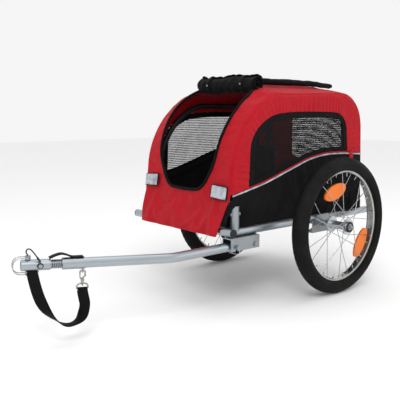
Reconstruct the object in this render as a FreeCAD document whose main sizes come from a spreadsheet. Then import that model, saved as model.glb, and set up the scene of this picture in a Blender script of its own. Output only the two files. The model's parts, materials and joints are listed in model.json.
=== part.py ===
import FreeCAD, Part
import math
import os
import Sketcher
from FreeCAD import Placement, Rotation, Vector

os.makedirs("parts", exist_ok=True)
doc = FreeCAD.newDocument("pet_trailer")
sheet = doc.addObject("Spreadsheet::Sheet", "dims")

# Driving dimensions, mm. x runs forward from the front cross tube, y to the left, z up from the ground.
DIMENSIONS = {
    "hitch_reach": 526.2,
    # frame tubes
    "tube_od": 22, "tube_bore": 19, "cross_z": 221, "cross_half": 211.3, "side_y": 174, "side_z": 213.5,
    "side_length": 625, "rear_cross_x": 600, "plug_flange": 4, "plug_depth": 14, "weld_gap": 0.1,
    # wheels and axles
    "axle_x": 392, "axle_z": 200, "axle_tube_od": 20, "axle_tube_half": 206, "axle_dia": 12, "axle_bore": 12.1,
    "wheel_y": 251, "tyre_radius": 200, "tyre_section": 45, "rim_outer": 162.5, "rim_inner": 155,
    "rim_half": 12, "rim_channel": 9.8, "rim_floor": 158.4, "flange_offset": 28, "flange_radius": 24,
    "hub_radius": 13, "hub_half": 33, "spoke_dia": 2, "spoke_count": 20,
    "reflector_length": 96, "reflector_width": 43, "button_dia": 8,
    "button_bore": 8.1, "button_well": 8, "button_tail": 1, "button_out": 4,
    "axle_inner_y": 120, "axle_outer_y": 291,
    # arches
    "post_od": 25.4, "post_bore": 21.8, "post_top": 284, "arch_od": 16, "arch_bore": 13, "arch_front_x": 40,
    "arch_rear_x": 562, "arch_top": 566, "arch_nest": 20, "left_hinge_z": 262, "right_hinge_z": 244,
    "hinge_bolt": 6, "arch_tail": 5,
    # drawbar
    "bar_od": 24, "bar_bore": 20.5, "bar_y": 175.5, "bar_z": 178, "pivot_x": 101, "bar_tail": 13,
    "bend_x": 168, "bend_radius": 90, "tip_x": 504, "tip_y": 69, "tip_z": 195,
    "bracket_width": 35, "bracket_wall": 3, "bracket_top": 201.9, "bracket_bottom": 167, "bracket_front": 12,
    "bracket_rear": 116, "pivot_dia": 8,
    "lock_x": 31, "lock_dia": 6, "wire": 2.4,
    # hitch
    "head_od": 25.4, "head_bore": 20, "head_length": 63, "spring_length": 26, "spring_wire": 3.6,
    "socket_depth": 11, "sleeve_od": 27.4, "sleeve_length": 52, "head_pin_back": 15, "rivet_back": 40,
    "webbing": 25, "gate_rise": 15.8,
    # cover
    "cover_half": 186, "cloth": 3, "side_cloth": 2, "front_roll_radius": 25.5, "roof_roll_radius": 10,
    "roll_x": 172, "roll_z": 605.5,
    "seam_half": 3, "border": 18,
}
for row, (alias, size) in enumerate(DIMENSIONS.items(), start=1):
    sheet.set(f"A{row}", alias)
    sheet.set(f"B{row}", str(size))
    sheet.setAlias(f"B{row}", alias)
sheet.set("A120", "origin_shift")
sheet.set("B120", "=(side_length + plug_flange - hitch_reach) / 2")
sheet.setAlias("B120", "origin_shift")
doc.recompute()

X, Y, Z = Vector(1, 0, 0), Vector(0, 1, 0), Vector(0, 0, 1)
ALONG_X = Rotation(Y, 90)
ALONG_Y = Rotation(X, -90)
UPRIGHT = Rotation()
NODES = []


def size(rule):
    """The value of a rule written with the sheet's names."""
    return float(sheet.evalExpression(str(rule)))


def put(obj, x=0.0, y=0.0, z=0.0, turn=UPRIGHT):
    obj.Placement = Placement(Vector(x + sheet.origin_shift, y, z), turn)
    return obj


def node(obj, label):
    obj.Label = label
    NODES.append(obj)
    return obj


# Part Design helpers ------------------------------------------------------------------------------
def new_body(name):
    return doc.addObject("PartDesign::Body", name)


def new_sketch(body, role, name):
    sketch = body.newObject("Sketcher::SketchObject", f"{body.Name}_{name}")
    plane = next(f for f in body.Origin.OriginFeatures if f.Role == role)
    sketch.AttachmentSupport = [(plane, "")]
    sketch.MapMode = "FlatFace"
    return sketch


def circle(sketch, rule, across=0.0, up=0.0):
    index = sketch.addGeometry(Part.Circle(Vector(across, up, 0), Z, size(rule)))
    name = sketch.addConstraint(Sketcher.Constraint("Radius", index, size(rule)))
    sketch.setExpression(f"Constraints[{name}]", rule)


def outline(sketch, points):
    corners = [Vector(a, b, 0) for a, b in points]
    for start, end in zip(corners, corners[1:] + corners[:1]):
        sketch.addGeometry(Part.LineSegment(start, end))


def pad(body, sketch, rule, midplane=False):
    feature = body.newObject("PartDesign::Pad", f"{body.Name}_pad")
    feature.Profile = sketch
    feature.Midplane = midplane
    feature.setExpression("Length", rule)
    sketch.Visibility = False
    doc.recompute()
    return feature


def pocket(body, role, circles):
    """Round holes straight through the body both ways: (across, up, radius rule)."""
    sketch = new_sketch(body, role, f"holes{len(body.Group)}")
    for across, up, rule in circles:
        circle(sketch, rule, across, up)
    feature = body.newObject("PartDesign::Pocket", f"{body.Name}_pocket{len(body.Group)}")
    feature.Profile = sketch
    feature.Type = "ThroughAll"
    feature.Midplane = True
    doc.recompute()
    return feature


def tube(name, outer, bore, length, midplane=False):
    body = new_body(name)
    sketch = new_sketch(body, "XY_Plane", "section")
    circle(sketch, f"{outer} / 2")
    circle(sketch, f"{bore} / 2")
    pad(body, sketch, length, midplane)
    return body


def turned(name, points, arcs=()):
    """A profile of (radius, height) corners turned about Z; arcs replace a side by its middle."""
    body = new_body(name)
    sketch = new_sketch(body, "XZ_Plane", "profile")
    corners = [Vector(a, b, 0) for a, b in points]
    middles = dict(arcs)
    for i, (start, end) in enumerate(zip(corners, corners[1:] + corners[:1])):
        if i in middles:
            sketch.addGeometry(Part.Arc(start, Vector(*middles[i], 0), end))
        else:
            sketch.addGeometry(Part.LineSegment(start, end))
    feature = body.newObject("PartDesign::Revolution", f"{name}_turn")
    feature.Profile = sketch
    feature.ReferenceAxis = (sketch, ["V_Axis"])
    feature.Angle = 360
    doc.recompute()
    return body


# Solid helpers ------------------------------------------------------------------------------------
def solid(name, shape):
    feature = doc.addObject("Part::Feature", name)
    feature.Shape = shape
    return feature


def rod(radius, start, end):
    return Part.makeCylinder(radius, (end - start).Length, start, end - start)


def pipe(radius, start, end, bore):
    return rod(radius, start, end).cut(rod(bore, start - (end - start), end + (end - start)))


def block(low, high):
    return Part.makeBox(*(high - low), low)


def polygon(points):
    return Part.Face(Part.makePolygon(list(points) + [points[0]]))


def slab(points, y_low, y_high):
    """A plate with an outline of (x, z) points between two y values."""
    return polygon([Vector(x, y_low, z) for x, z in points]).extrude(Vector(0, y_high - y_low, 0))


def rounded_path(corners, share=0.45, radius=None):
    """Straight runs joined by tangent arcs of one radius, one per corner, or as large as the runs allow."""
    edges, radii, start = [], [], corners[0]
    wanted = radius if isinstance(radius, list) else [radius] * len(corners)
    for before, corner, after, bend in zip(corners, corners[1:], corners[2:], wanted):
        back, ahead = (before - corner), (after - corner)
        half_turn = (math.pi - back.getAngle(ahead)) / 2
        reach = bend * math.tan(half_turn) if bend else share * min(back.Length, ahead.Length)
        radii.append(round(reach / math.tan(half_turn), 1))
        enter = corner + back.normalize() * reach
        leave = corner + ahead.normalize() * reach
        middle_way = (back + ahead).normalize()
        middle = corner + middle_way * (radii[-1] / math.cos(half_turn) - radii[-1])
        edges.append(Part.makeLine(start, enter))
        edges.append(Part.Arc(enter, middle, leave).toShape())
        start = leave
    edges.append(Part.makeLine(start, corners[-1]))
    return Part.Wire(edges), radii


def swept(wire, radius):
    first = wire.Edges[0]
    start = first.valueAt(first.FirstParameter)
    way = first.tangentAt(first.FirstParameter)
    ring = Part.Wire(Part.makeCircle(radius, start, way))
    return wire.makePipeShell([ring], True, False)


def bent_rod(corners, radius, bend=None, bore=0.0):
    wire, radii = rounded_path(corners, radius=bend)
    shape = swept(wire, radius)
    return (shape.cut(swept(wire, bore)) if bore else shape), radii


# Frame --------------------------------------------------------------------------------------------
def frame_tubes():
    drop = sheet.cross_z - sheet.side_z
    cross = tube("front_cross_tube", "dims.tube_od", "dims.tube_bore", "dims.cross_half * 2", True)
    node(put(cross, z=sheet.cross_z, turn=ALONG_Y), "front_cross_tube")
    cope = "dims.tube_od / 2 + dims.weld_gap"
    for side, sign in (("left", 1), ("right", -1)):
        rail = tube(f"{side}_side_tube", "dims.tube_od", "dims.tube_bore", "dims.side_length")
        axle = (-(sheet.axle_z - sheet.side_z), sheet.side_length - sheet.axle_x,
                "dims.axle_tube_od / 2 + dims.weld_gap")
        pocket(rail, "XZ_Plane", [(-drop, sheet.side_length, cope), axle])
        put(rail, x=-sheet.side_length, y=sign * sheet.side_y, z=sheet.side_z, turn=ALONG_X)
        node(rail, f"{side}_side_tube")
    rear = tube("rear_cross_tube", "dims.tube_od", "dims.tube_bore", "dims.side_y * 2", True)
    pocket(rear, "YZ_Plane", [(0, end * sheet.side_y, cope) for end in (-1, 1)])
    node(put(rear, x=-sheet.rear_cross_x, z=sheet.side_z, turn=ALONG_Y), "rear_cross_tube")
    axle = tube("axle_tube", "dims.axle_tube_od", "dims.axle_bore", "dims.axle_tube_half * 2", True)
    node(put(axle, x=-sheet.axle_x, z=sheet.axle_z, turn=ALONG_Y), "axle_tube")


def tube_plugs():
    radius, inner = sheet.tube_od / 2, sheet.tube_bore / 2 - 0.05

    def plug(base, way):
        flange = rod(radius, base, base + way * sheet.plug_flange)
        edges = [e for e in flange.Edges if e.Curve.TypeId == "Part::GeomCircle"
                 and (e.CenterOfMass - base).dot(way) > 1]
        return flange.makeFillet(1.5, edges).fuse(rod(inner, base, base - way * sheet.plug_depth))

    ends = [(Vector(0, s * sheet.cross_half, sheet.cross_z), Y * s) for s in (-1, 1)]
    ends += [(Vector(-sheet.side_length, s * sheet.side_y, sheet.side_z), -X) for s in (-1, 1)]
    node(put(solid("tube_plugs", Part.makeCompound([plug(*end) for end in ends]))), "tube_plugs")


def hinge_places():
    """(side sign, hinge height, front x, rear x) for the two arches."""
    nest = sheet.arch_nest
    return [(1, sheet.left_hinge_z, -sheet.arch_front_x, -sheet.arch_rear_x),
            (-1, sheet.right_hinge_z, -sheet.arch_front_x - nest, -sheet.arch_rear_x + nest)]


def hinge_posts():
    posts, bolts = [], []
    saddle = sheet.tube_od / 2 + sheet.weld_gap
    for sign, height, front, rear in hinge_places():
        y = sign * sheet.side_y
        rail = rod(saddle, Vector(-700, y, sheet.side_z), Vector(100, y, sheet.side_z))
        top = sheet.post_top - (sheet.left_hinge_z - height)
        for x in (front, rear):
            low, high = Vector(x, y, sheet.side_z + 4), Vector(x, y, top)
            post = pipe(sheet.post_od / 2, low, high, sheet.post_bore / 2)
            half = sheet.arch_od / 2 + 0.6
            inward = [y, y - sign * 20]
            slot = block(Vector(x - half, min(inward), height - half), Vector(x + half, max(inward), 400))
            start, end = Vector(x - 18, y, height), Vector(x + 18, y, height)
            posts.append(post.cut(slot).cut(rail).cut(rod(sheet.hinge_bolt / 2 + 0.05, start, end)))
            reach = sheet.post_od / 2 + 0.2
            shank = rod(sheet.hinge_bolt / 2, start, end)
            heads = [rod(5.5, Vector(x + e * reach, y, height), Vector(x + e * (reach + 4), y, height))
                     for e in (-1, 1)]
            bolts.append(shank.multiFuse(heads))
    node(put(solid("hinge_posts", Part.makeCompound(posts))), "hinge_posts")
    node(put(solid("frame_bolts", Part.makeCompound(bolts + [pivot_bolt()]))), "frame_bolts")


def drawbar_bracket():
    body = new_body("bracket_blank")
    sketch = new_sketch(body, "XY_Plane", "section")
    half, wall = sheet.bracket_width / 2, sheet.bracket_wall
    top, bottom = sheet.bracket_top - sheet.bar_z, sheet.bracket_bottom - sheet.bar_z
    outline(sketch, [(bottom, -half), (top, -half), (top, half), (bottom, half), (bottom, half - wall),
                     (top - wall, half - wall), (top - wall, wall - half), (bottom, wall - half)])
    pad(body, sketch, "dims.bracket_rear - dims.bracket_front")
    put(body, x=-sheet.bracket_front, y=sheet.bar_y, z=sheet.bar_z, turn=Rotation(Y, -90))
    pocket(body, "XZ_Plane", [(0, sheet.pivot_x - sheet.bracket_front, "dims.pivot_dia / 2 + 0.05")])
    slot = doc.addObject("Part::Box", "lock_slot")
    slot.setExpression("Length", "dims.lock_dia + 3")
    slot.setExpression("Width", "dims.bracket_width + 10")
    slot.Height = 30
    put(slot, -sheet.lock_x - sheet.lock_dia / 2 - 2, sheet.bar_y - sheet.bracket_width / 2 - 5,
        sheet.bar_z + sheet.lock_dia / 2 + 0.4 - 30)
    cut = doc.addObject("Part::Cut", "slotted_bracket")
    cut.Base, cut.Tool = body, slot
    node(cut, "drawbar_bracket")


def pivot_bolt():
    y, half = sheet.bar_y, sheet.bracket_width / 2
    at = Vector(-sheet.pivot_x, y, sheet.bar_z)
    shank = rod(sheet.pivot_dia / 2, at - Y * (half + 2), at + Y * (half + 2))
    ends = [rod(7, at + Y * e * (half + 0.2), at + Y * e * (half + 5)) for e in (-1, 1)]
    spacers = [pipe(8, at + Y * e * 12.3, at + Y * e * (half - sheet.bracket_wall), sheet.pivot_dia / 2)
               for e in (-1, 1)]
    return shank.multiFuse(ends + spacers)


def axle_brackets():
    """A plate outside each side tube, round the axle tube, with a flange over the rail."""
    pieces = []
    for sign in (1, -1):
        inner = sheet.side_y + sheet.tube_od / 2 + 0.1
        points = [(-46, -24), (46, -24), (46, 6), (26, 26), (-26, 26), (-46, 6)]
        x, z = -sheet.axle_x, sheet.axle_z
        plate = slab([(x + a, z + b) for a, b in points], inner, inner + 3)
        foot = block(Vector(x - 46, 150, z - 27), Vector(x + 46, inner + 3, z - 24))
        hole = rod(sheet.axle_tube_od / 2 + 0.05, Vector(x, 0, z), Vector(x, 300, z))
        piece = plate.fuse(foot).removeSplitter().cut(hole)
        pieces.append(piece if sign > 0 else piece.mirror(Vector(), Y))
    node(put(solid("axle_brackets", Part.makeCompound(pieces))), "axle_brackets")


def wheel_axles():
    axles = []
    for sign in (1, -1):
        start = Vector(-sheet.axle_x, sign * sheet.axle_inner_y, sheet.axle_z)
        end = Vector(-sheet.axle_x, sign * sheet.axle_outer_y, sheet.axle_z)
        socket = rod(sheet.button_bore / 2, end - Y * sign * sheet.button_well, end + Y * sign)
        axles.append(rod(sheet.axle_dia / 2, start, end).cut(socket))
    node(put(solid("wheel_axles", Part.makeCompound(axles))), "wheel_axles")


def floor_panel():
    half = sheet.side_y - sheet.post_od / 2 - 1
    low, high = Vector(-588, -half, 214), Vector(-13, half, 218)
    node(put(solid("floor_panel", block(low, high))), "floor_panel")


# Cabin cover --------------------------------------------------------------------------------------
def blend_points(edge, middle, share):
    return [(a + (c - a) * share, b + (d - b) * share) for (a, b), (c, d) in zip(edge, middle)]


def cabin_profile(y):
    """(x, z) outline of the cabin at y, from the front foot over the roof to the rear foot."""
    share = 1 - (y / sheet.cover_half) ** 2
    front = blend_points([(-20, 390), (-78, 510), (-180, 579)], [(-24, 420), (-84, 550), (-200, 610)], share)
    rear_edge, rear_middle = [(-480, 586), (-552, 549), (-577, 490)], [(-478, 611), (-560, 570), (-585, 490)]
    rear = blend_points(rear_edge, rear_middle, share)
    points = [(17, 207), (12, 240), (-10, 300)]
    for corner in (front, rear):
        arc = Part.Arc(*[Vector(x, 0, z) for x, z in corner]).toShape()
        points += [(p.x, p.z) for p in arc.discretize(8)]
    return points + [(-591, 215)]


def inset(points, gap):
    """The outline moved inwards; its two feet run straight down."""
    moved = []
    for i, (x, z) in enumerate(points):
        before, after = points[max(i - 1, 0)], points[min(i + 1, len(points) - 1)]
        way = Vector(after[0] - before[0], 0, after[1] - before[1]).normalize()
        moved.append((x - way.z * gap, z + way.x * gap))
    return moved


def cabin_form(gap):
    """The crowned cabin as one ruled solid, with its feet closed off below the floor."""
    wires = []
    for y in (-1, -0.75, -0.4, 0, 0.4, 0.75, 1):
        points = inset(cabin_profile(y * sheet.cover_half), gap)
        if gap:
            points = [(points[0][0], 150)] + points + [(points[-1][0], 150)]
        corners = [Vector(x, y * (sheet.cover_half + (1 if gap else 0)), z) for x, z in points]
        wires.append(Part.makePolygon(corners + corners[:1]))
    return Part.makeLoft(wires, True, True)


def opening_outline():
    """(y, z) corners of the front doorway, up to above the roof."""
    half = [(55, 317), (74, 326), (88, 347), (112, 385), (122, 410), (126, 465), (130, 530), (120, 640)]
    return [(-y, z) for y, z in reversed(half)] + half


def crossways(points, x_low, x_high):
    """A block with an outline of (y, z) points between two x values."""
    return polygon([Vector(x_low, y, z) for y, z in points]).extrude(Vector(x_high - x_low, 0, 0))


def cover_panels():
    shell = cabin_form(0).cut(cabin_form(sheet.cloth))
    doorway = crossways(opening_outline(), -163, 60)
    corners = [crossways([(s * 167, 190), (s * 200, 190), (s * 200, 300), (s * 185, 300)], -60, 60)
               for s in (-1, 1)]
    front = shell.common(block(Vector(-180, -250, 190), Vector(60, 250, 700))).cut([doorway] + corners)
    node(put(solid("front_panel", front)), "front_panel")
    hatch_low, hatch_high = Vector(-490, -112, 560), Vector(-215, 50, 700)
    roof_box = block(Vector(-510, -250, 500), Vector(-180.2, 250, 700))
    roof = shell.common(roof_box).cut(block(hatch_low, hatch_high))
    node(put(solid("roof_panel", roof)), "roof_panel")
    gap = Vector(0.2, 0.2, 0)
    mesh = cabin_form(0.8).cut(cabin_form(2.2)).common(block(hatch_low + gap, hatch_high - gap))
    node(put(solid("roof_mesh", mesh)), "roof_mesh")
    rear_box = block(Vector(-650, -250, 226), Vector(-510.2, 250, 700))
    window = [(-105, 372), (105, 372), (105, 520), (-105, 520)]
    rear = shell.common(rear_box).cut(crossways(window, -650, -520))
    node(put(solid("rear_panel", rear)), "rear_panel")
    pane = crossways([(y * 0.998, z * 0.9994 + 0.27) for y, z in window], -650, -520)
    rear_mesh = cabin_form(0.8).cut(cabin_form(2.2)).common(pane)
    node(put(solid("rear_mesh", rear_mesh)), "rear_mesh")


def rolls():
    radius = sheet.front_roll_radius
    start, end = Vector(-sheet.roll_x, -113, sheet.roll_z), Vector(-sheet.roll_x, 126, sheet.roll_z)
    front = rod(radius, start, end)
    over = rod(sheet.roof_roll_radius, Vector(-205, 70, 618), Vector(-562, 70, 618))
    bulk = cabin_form(0)
    node(put(solid("front_roll", front.cut(bulk))), "front_roll")
    roof = over.cut(bulk).cut(rod(radius + 0.4, start - Y * 20, end + Y * 20))
    node(put(solid("roof_roll", max(roof.Solids, key=lambda s: s.Volume))), "roof_roll")


def reflective_patches():
    patches = []
    for y, z in ((146, 319), (-152, 329)):
        piece = cabin_form(-1.5).cut(cabin_form(-0.05))
        patches.append(piece.common(block(Vector(-40, y - 29, z - 19), Vector(30, y + 29, z + 19))))
    node(put(solid("reflective_patches", Part.makeCompound(patches))), "reflective_patches")


# Folding sides ------------------------------------------------------------------------------------
def seam(rise):
    """(x, z) points of the side's curved seam from front to rear, moved up by rise."""
    knots = [(40, 300), (-22, 312), (-150, 339), (-255, 372), (-325, 392), (-395, 403), (-508, 401),
             (-640, 393)]
    curve = Part.BSplineCurve()
    curve.interpolate([Vector(x, 0, z) for x, z in knots])
    return [(p.x, p.z + rise) for p in curve.discretize(28)]


def window_points():
    """(x, z) outline of the side window's border; its foot runs below the seam."""
    front = Part.Arc(Vector(-80, 0, 425), Vector(-104, 0, 486), Vector(-185, 0, 527)).toShape().discretize(7)
    rear = Part.Arc(Vector(-440, 0, 527), Vector(-478, 0, 512), Vector(-497, 0, 470)).toShape().discretize(6)
    return [(-77, 250)] + [(p.x, p.z) for p in front + rear] + [(-503, 250)]


def side_pieces(sign):
    """Border, mesh, upper panel, lower panel and piping of one side, as plates between two y values."""
    base = sheet.cover_half + 0.4
    low, high = sorted((sign * base, sign * (base + sheet.side_cloth)))
    outline_xz = [(x, max(z, 226)) for x, z in cabin_profile(sheet.cover_half)]
    side = slab([(14, 226)] + outline_xz[1:-1] + [(-590, 226)], low, high)
    half = sheet.seam_half

    def above(rise):
        points = seam(rise)
        return slab(points + [(points[-1][0], 700), (points[0][0], 700)], -300, 300)

    opening = slab(window_points(), low - 5, high + 5)
    loop = window_points() + window_points()[:1]
    inner_wire = Part.Wire(Part.makePolygon([Vector(x, 0, z) for x, z in loop]))
    inner_face = Part.Face(inner_wire).makeOffset2D(-sheet.border)
    inner = inner_face.extrude(Vector(0, 600, 0))
    inner.translate(Vector(0, -300, 0))
    over_seam = side.common(above(half + 0.2))
    upper = over_seam.cut(opening)
    border_all = over_seam.common(opening)
    mesh = border_all.common(inner).common(above(half + sheet.border))
    border = border_all.cut(mesh)
    posts = [block(Vector(x - 22, -300, 200), Vector(x + 22, 300, sheet.post_top + 6))
             for _, _, front, rear in hinge_places() for x in (front, rear)]
    corner = slab([(-22, 200), (60, 200), (60, 330), (6, 296), (-22, 296)], -300, 300)
    lower = side.cut(above(-half - 0.2)).cut(posts + [corner])
    strip = above(-half).cut(above(half)).common(
        slab([(-20, 226)] + inset(outline_xz, 0.5)[1:-1] + [(-590, 226)], low, high + (1 if sign > 0 else 0)))
    if sign < 0:
        strip = strip.fuse(strip.translated(Vector(0, -1, 0))).removeSplitter()
    return {"side_panel": upper, "window_border": border, "window_mesh": mesh, "lower_panel": lower,
            "side_piping": strip}


def arch(sign, height, front, rear):
    """A hoop that follows the cabin's outline. The right one nests inside the left one."""
    y, foot = sign * sheet.side_y, height - sheet.arch_tail
    top, lean = sheet.arch_top, [(0, 410), (-55, 502)]
    hoop = [(-sheet.arch_front_x + x, z) for x, z in lean] + [(-190, top), (-495, top)]
    hoop += [(-sheet.arch_rear_x + 17, 545), (-sheet.arch_rear_x, 505)]
    hoop = [(-sheet.arch_front_x, foot)] + hoop + [(-sheet.arch_rear_x, foot)]
    if sign < 0:
        hoop = inset(hoop, sheet.arch_nest)
        hoop[0], hoop[-1] = (front, foot), (rear, foot)
    wire, radii = rounded_path([Vector(x, y, z) for x, z in hoop])
    print("arch radii", radii)
    hole = rod(sheet.hinge_bolt / 2 + 0.05, Vector(front + 40, y, height), Vector(rear - 40, y, height))
    hoop[0], hoop[-1] = (hoop[0][0], height + 12), (hoop[-1][0], height + 12)
    core, _ = rounded_path([Vector(x, y, z) for x, z in hoop])
    return swept(wire, sheet.arch_od / 2).cut(swept(core, sheet.arch_bore / 2)).cut(hole)


def folding_sides():
    for side, (sign, height, front, rear) in zip(("left", "right"), hinge_places()):
        node(put(solid(f"{side}_arch", arch(sign, height, front, rear))), f"{side}_arch")
        for name, shape in side_pieces(sign).items():
            node(put(solid(f"{side}_{name}", shape)), f"{side}_{name}")


# Wheels -------------------------------------------------------------------------------------------
def at_wheel(obj, sign):
    """The body's own +Z is the wheel's outward axle direction."""
    return put(obj, x=-sheet.axle_x, y=sign * sheet.wheel_y, z=sheet.axle_z, turn=Rotation(X, -90 * sign))


def tyre(name):
    section, outer = sheet.tyre_section / 2, sheet.tyre_radius
    seat, lip, floor = sheet.rim_outer + 0.5, sheet.rim_channel - 0.2, sheet.rim_floor + 0.2
    centre = outer - section
    reach = math.sqrt(section ** 2 - (centre - seat) ** 2)
    points = [(floor, -lip), (seat, -lip), (seat, -reach), (seat, reach), (seat, lip), (floor, lip)]
    return turned(name, points, [(2, (outer, 0))])


def rim(name):
    half, channel = sheet.rim_half, sheet.rim_channel
    inner, floor, outer = sheet.rim_inner, sheet.rim_floor, sheet.rim_outer
    bevel = 3
    return turned(name, [(inner, -half + bevel), (inner + bevel, -half), (outer, -half), (outer, -channel),
                         (floor, -channel), (floor, channel), (outer, channel), (outer, half),
                         (inner + bevel, half), (inner, half - bevel)])


def hub(name):
    bore, half, flange = sheet.axle_bore / 2, sheet.hub_half, sheet.flange_radius
    where, barrel = sheet.flange_offset, sheet.hub_radius
    return turned(name, [(bore, -half), (barrel, -half), (barrel, -where - 1.5), (flange, -where - 1.5),
                         (flange, 1.5 - where), (barrel, 1.5 - where), (barrel - 2, 0), (barrel, where - 1.5),
                         (flange, where - 1.5), (flange, where + 1.5), (barrel, where + 1.5), (barrel, half - 1),
                         (barrel - 2, half + 1), (bore, half + 1)])


def spokes(name):
    """Laced spokes from both flanges to the rim; leading and trailing ones leave at different offsets."""
    rods, count = [], int(sheet.spoke_count)
    reach, root = sheet.rim_inner - 0.3, sheet.flange_radius + sheet.spoke_dia / 2 + 0.4
    for i in range(count):
        outward = 1 if i % 2 else -1
        trailing = 1 if (i // 2) % 2 else -1
        rim_angle = 2 * math.pi * i / count
        hub_angle = rim_angle + trailing * math.radians(52)
        level = outward * (sheet.flange_offset + 1.3 * trailing)
        start = Vector(root * math.cos(hub_angle), root * math.sin(hub_angle), level)
        end = Vector(reach * math.cos(rim_angle), reach * math.sin(rim_angle), outward * 2.5)
        rods.append(rod(sheet.spoke_dia / 2, start, end))
    return solid(name, Part.makeCompound(rods))


def reflectors(sign):
    """Two oval plates clipped between the spokes, thin across the wheel."""
    plates, half_length, half_width = [], sheet.reflector_length / 2, sheet.reflector_width / 2
    for angle, away in ((-74.5 * sign, 104.5), (148 * sign, 123)):
        oval = Part.Wire(Part.Ellipse(Vector(), half_length, half_width).toShape())
        plate = Part.Face(oval).extrude(Z * 6)
        plate.rotate(Vector(), Z, angle - 90)
        turn = math.radians(angle)
        plate.translate(Vector(away * math.cos(turn), away * math.sin(turn), -3))
        plates.append(plate)
    return plates


def wheels():
    for side, sign in (("left", 1), ("right", -1)):
        node(at_wheel(tyre(f"{side}_tyre"), sign), f"{side}_tyre")
        node(at_wheel(rim(f"{side}_rim"), sign), f"{side}_rim")
        node(at_wheel(hub(f"{side}_hub"), sign), f"{side}_hub")
        wires = spokes(f"{side}_spokes")
        plates = Part.makeCompound(reflectors(sign))
        plates = plates.cut(Part.makeCompound([s.copy() for s in wires.Shape.Solids]))
        node(at_wheel(wires, sign), f"{side}_spokes")
        node(at_wheel(solid(f"{side}_reflectors", plates), sign), f"{side}_reflectors")
        half, out = sheet.button_dia / 2, sheet.button_out
        button = turned(f"{side}_button", [(0, -sheet.button_tail), (half, -sheet.button_tail), (half, out - 2),
                                           (half - 1, out), (0, out)])
        button.Placement = Placement(
            Vector(sheet.origin_shift - sheet.axle_x, sign * sheet.axle_outer_y, sheet.axle_z),
            Rotation(X, -90 * sign))
        node(button, f"{side}_release_button")


# Drawbar and hitch --------------------------------------------------------------------------------
def bar_line():
    """The drawbar's bend, tip and direction beyond the bend."""
    bend = Vector(sheet.bend_x, sheet.bar_y, sheet.bar_z)
    tip = Vector(sheet.tip_x, sheet.tip_y, sheet.tip_z)
    return bend, tip, (tip - bend).normalize()


def hitch_place():
    """Placement of the hitch frame: origin at the tip, x forward along the head, z up."""
    _, tip, way = bar_line()
    across = Z.cross(way).normalize()
    turn = Rotation(way, across, way.cross(across), "XYZ")
    return Placement(tip + Vector(sheet.origin_shift, 0, 0), turn)


def hitch_node(shape, label):
    feature = solid(label, shape)
    feature.Placement = hitch_place()
    return node(feature, label)


def drawbar_tube():
    bend, tip, way = bar_line()
    start = Vector(-sheet.pivot_x - sheet.bar_tail, sheet.bar_y, sheet.bar_z)
    end = tip - way * (sheet.head_length + sheet.spring_length + 12)
    wire, radii = rounded_path([start, bend, end], radius=sheet.bend_radius)
    print("drawbar bend radius", radii)
    tube_shape = swept(wire, sheet.bar_od / 2).cut(swept(wire, sheet.bar_bore / 2))
    holes = [rod(radius, Vector(-x, 100, sheet.bar_z), Vector(-x, 260, sheet.bar_z))
             for x, radius in ((sheet.pivot_x, sheet.pivot_dia / 2 + 0.05),
                               (sheet.lock_x, sheet.lock_dia / 2 + 0.05))]
    node(put(solid("drawbar_tube", tube_shape.cut(holes))), "drawbar_tube")


def lock_pin():
    at = Vector(-sheet.lock_x, sheet.bar_y, sheet.bar_z)
    radius, half = sheet.lock_dia / 2, sheet.bracket_width / 2
    pin = rod(radius, at - Y * (half + 4), at + Y * (half + 1))
    head = rod(5.5, at + Y * (half + 0.5), at + Y * (half + 9)).cut(
        rod(sheet.wire / 2 + 0.05, at + Vector(-9, half + 5, 0), at + Vector(9, half + 5, 0)))
    node(put(solid("lock_pin", pin.fuse(head))), "lock_pin")
    foot, drop, aside = half + 7, 21, -7.2
    corners = [Vector(7, half + 5, 0), Vector(aside, half + 5, 0), Vector(aside, half + 4, -drop + 5),
               Vector(aside, half - 5, -drop), Vector(aside, 8 - foot, -drop), Vector(aside, -foot, 8 - drop),
               Vector(aside, -foot, 5), Vector(4, -foot, 5)]
    shape, radii = bent_rod([at + c for c in corners], sheet.wire / 2, bend=1.9)
    print("lock bail radii", radii)
    node(put(solid("lock_bail", shape)), "lock_pin_bail")


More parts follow.
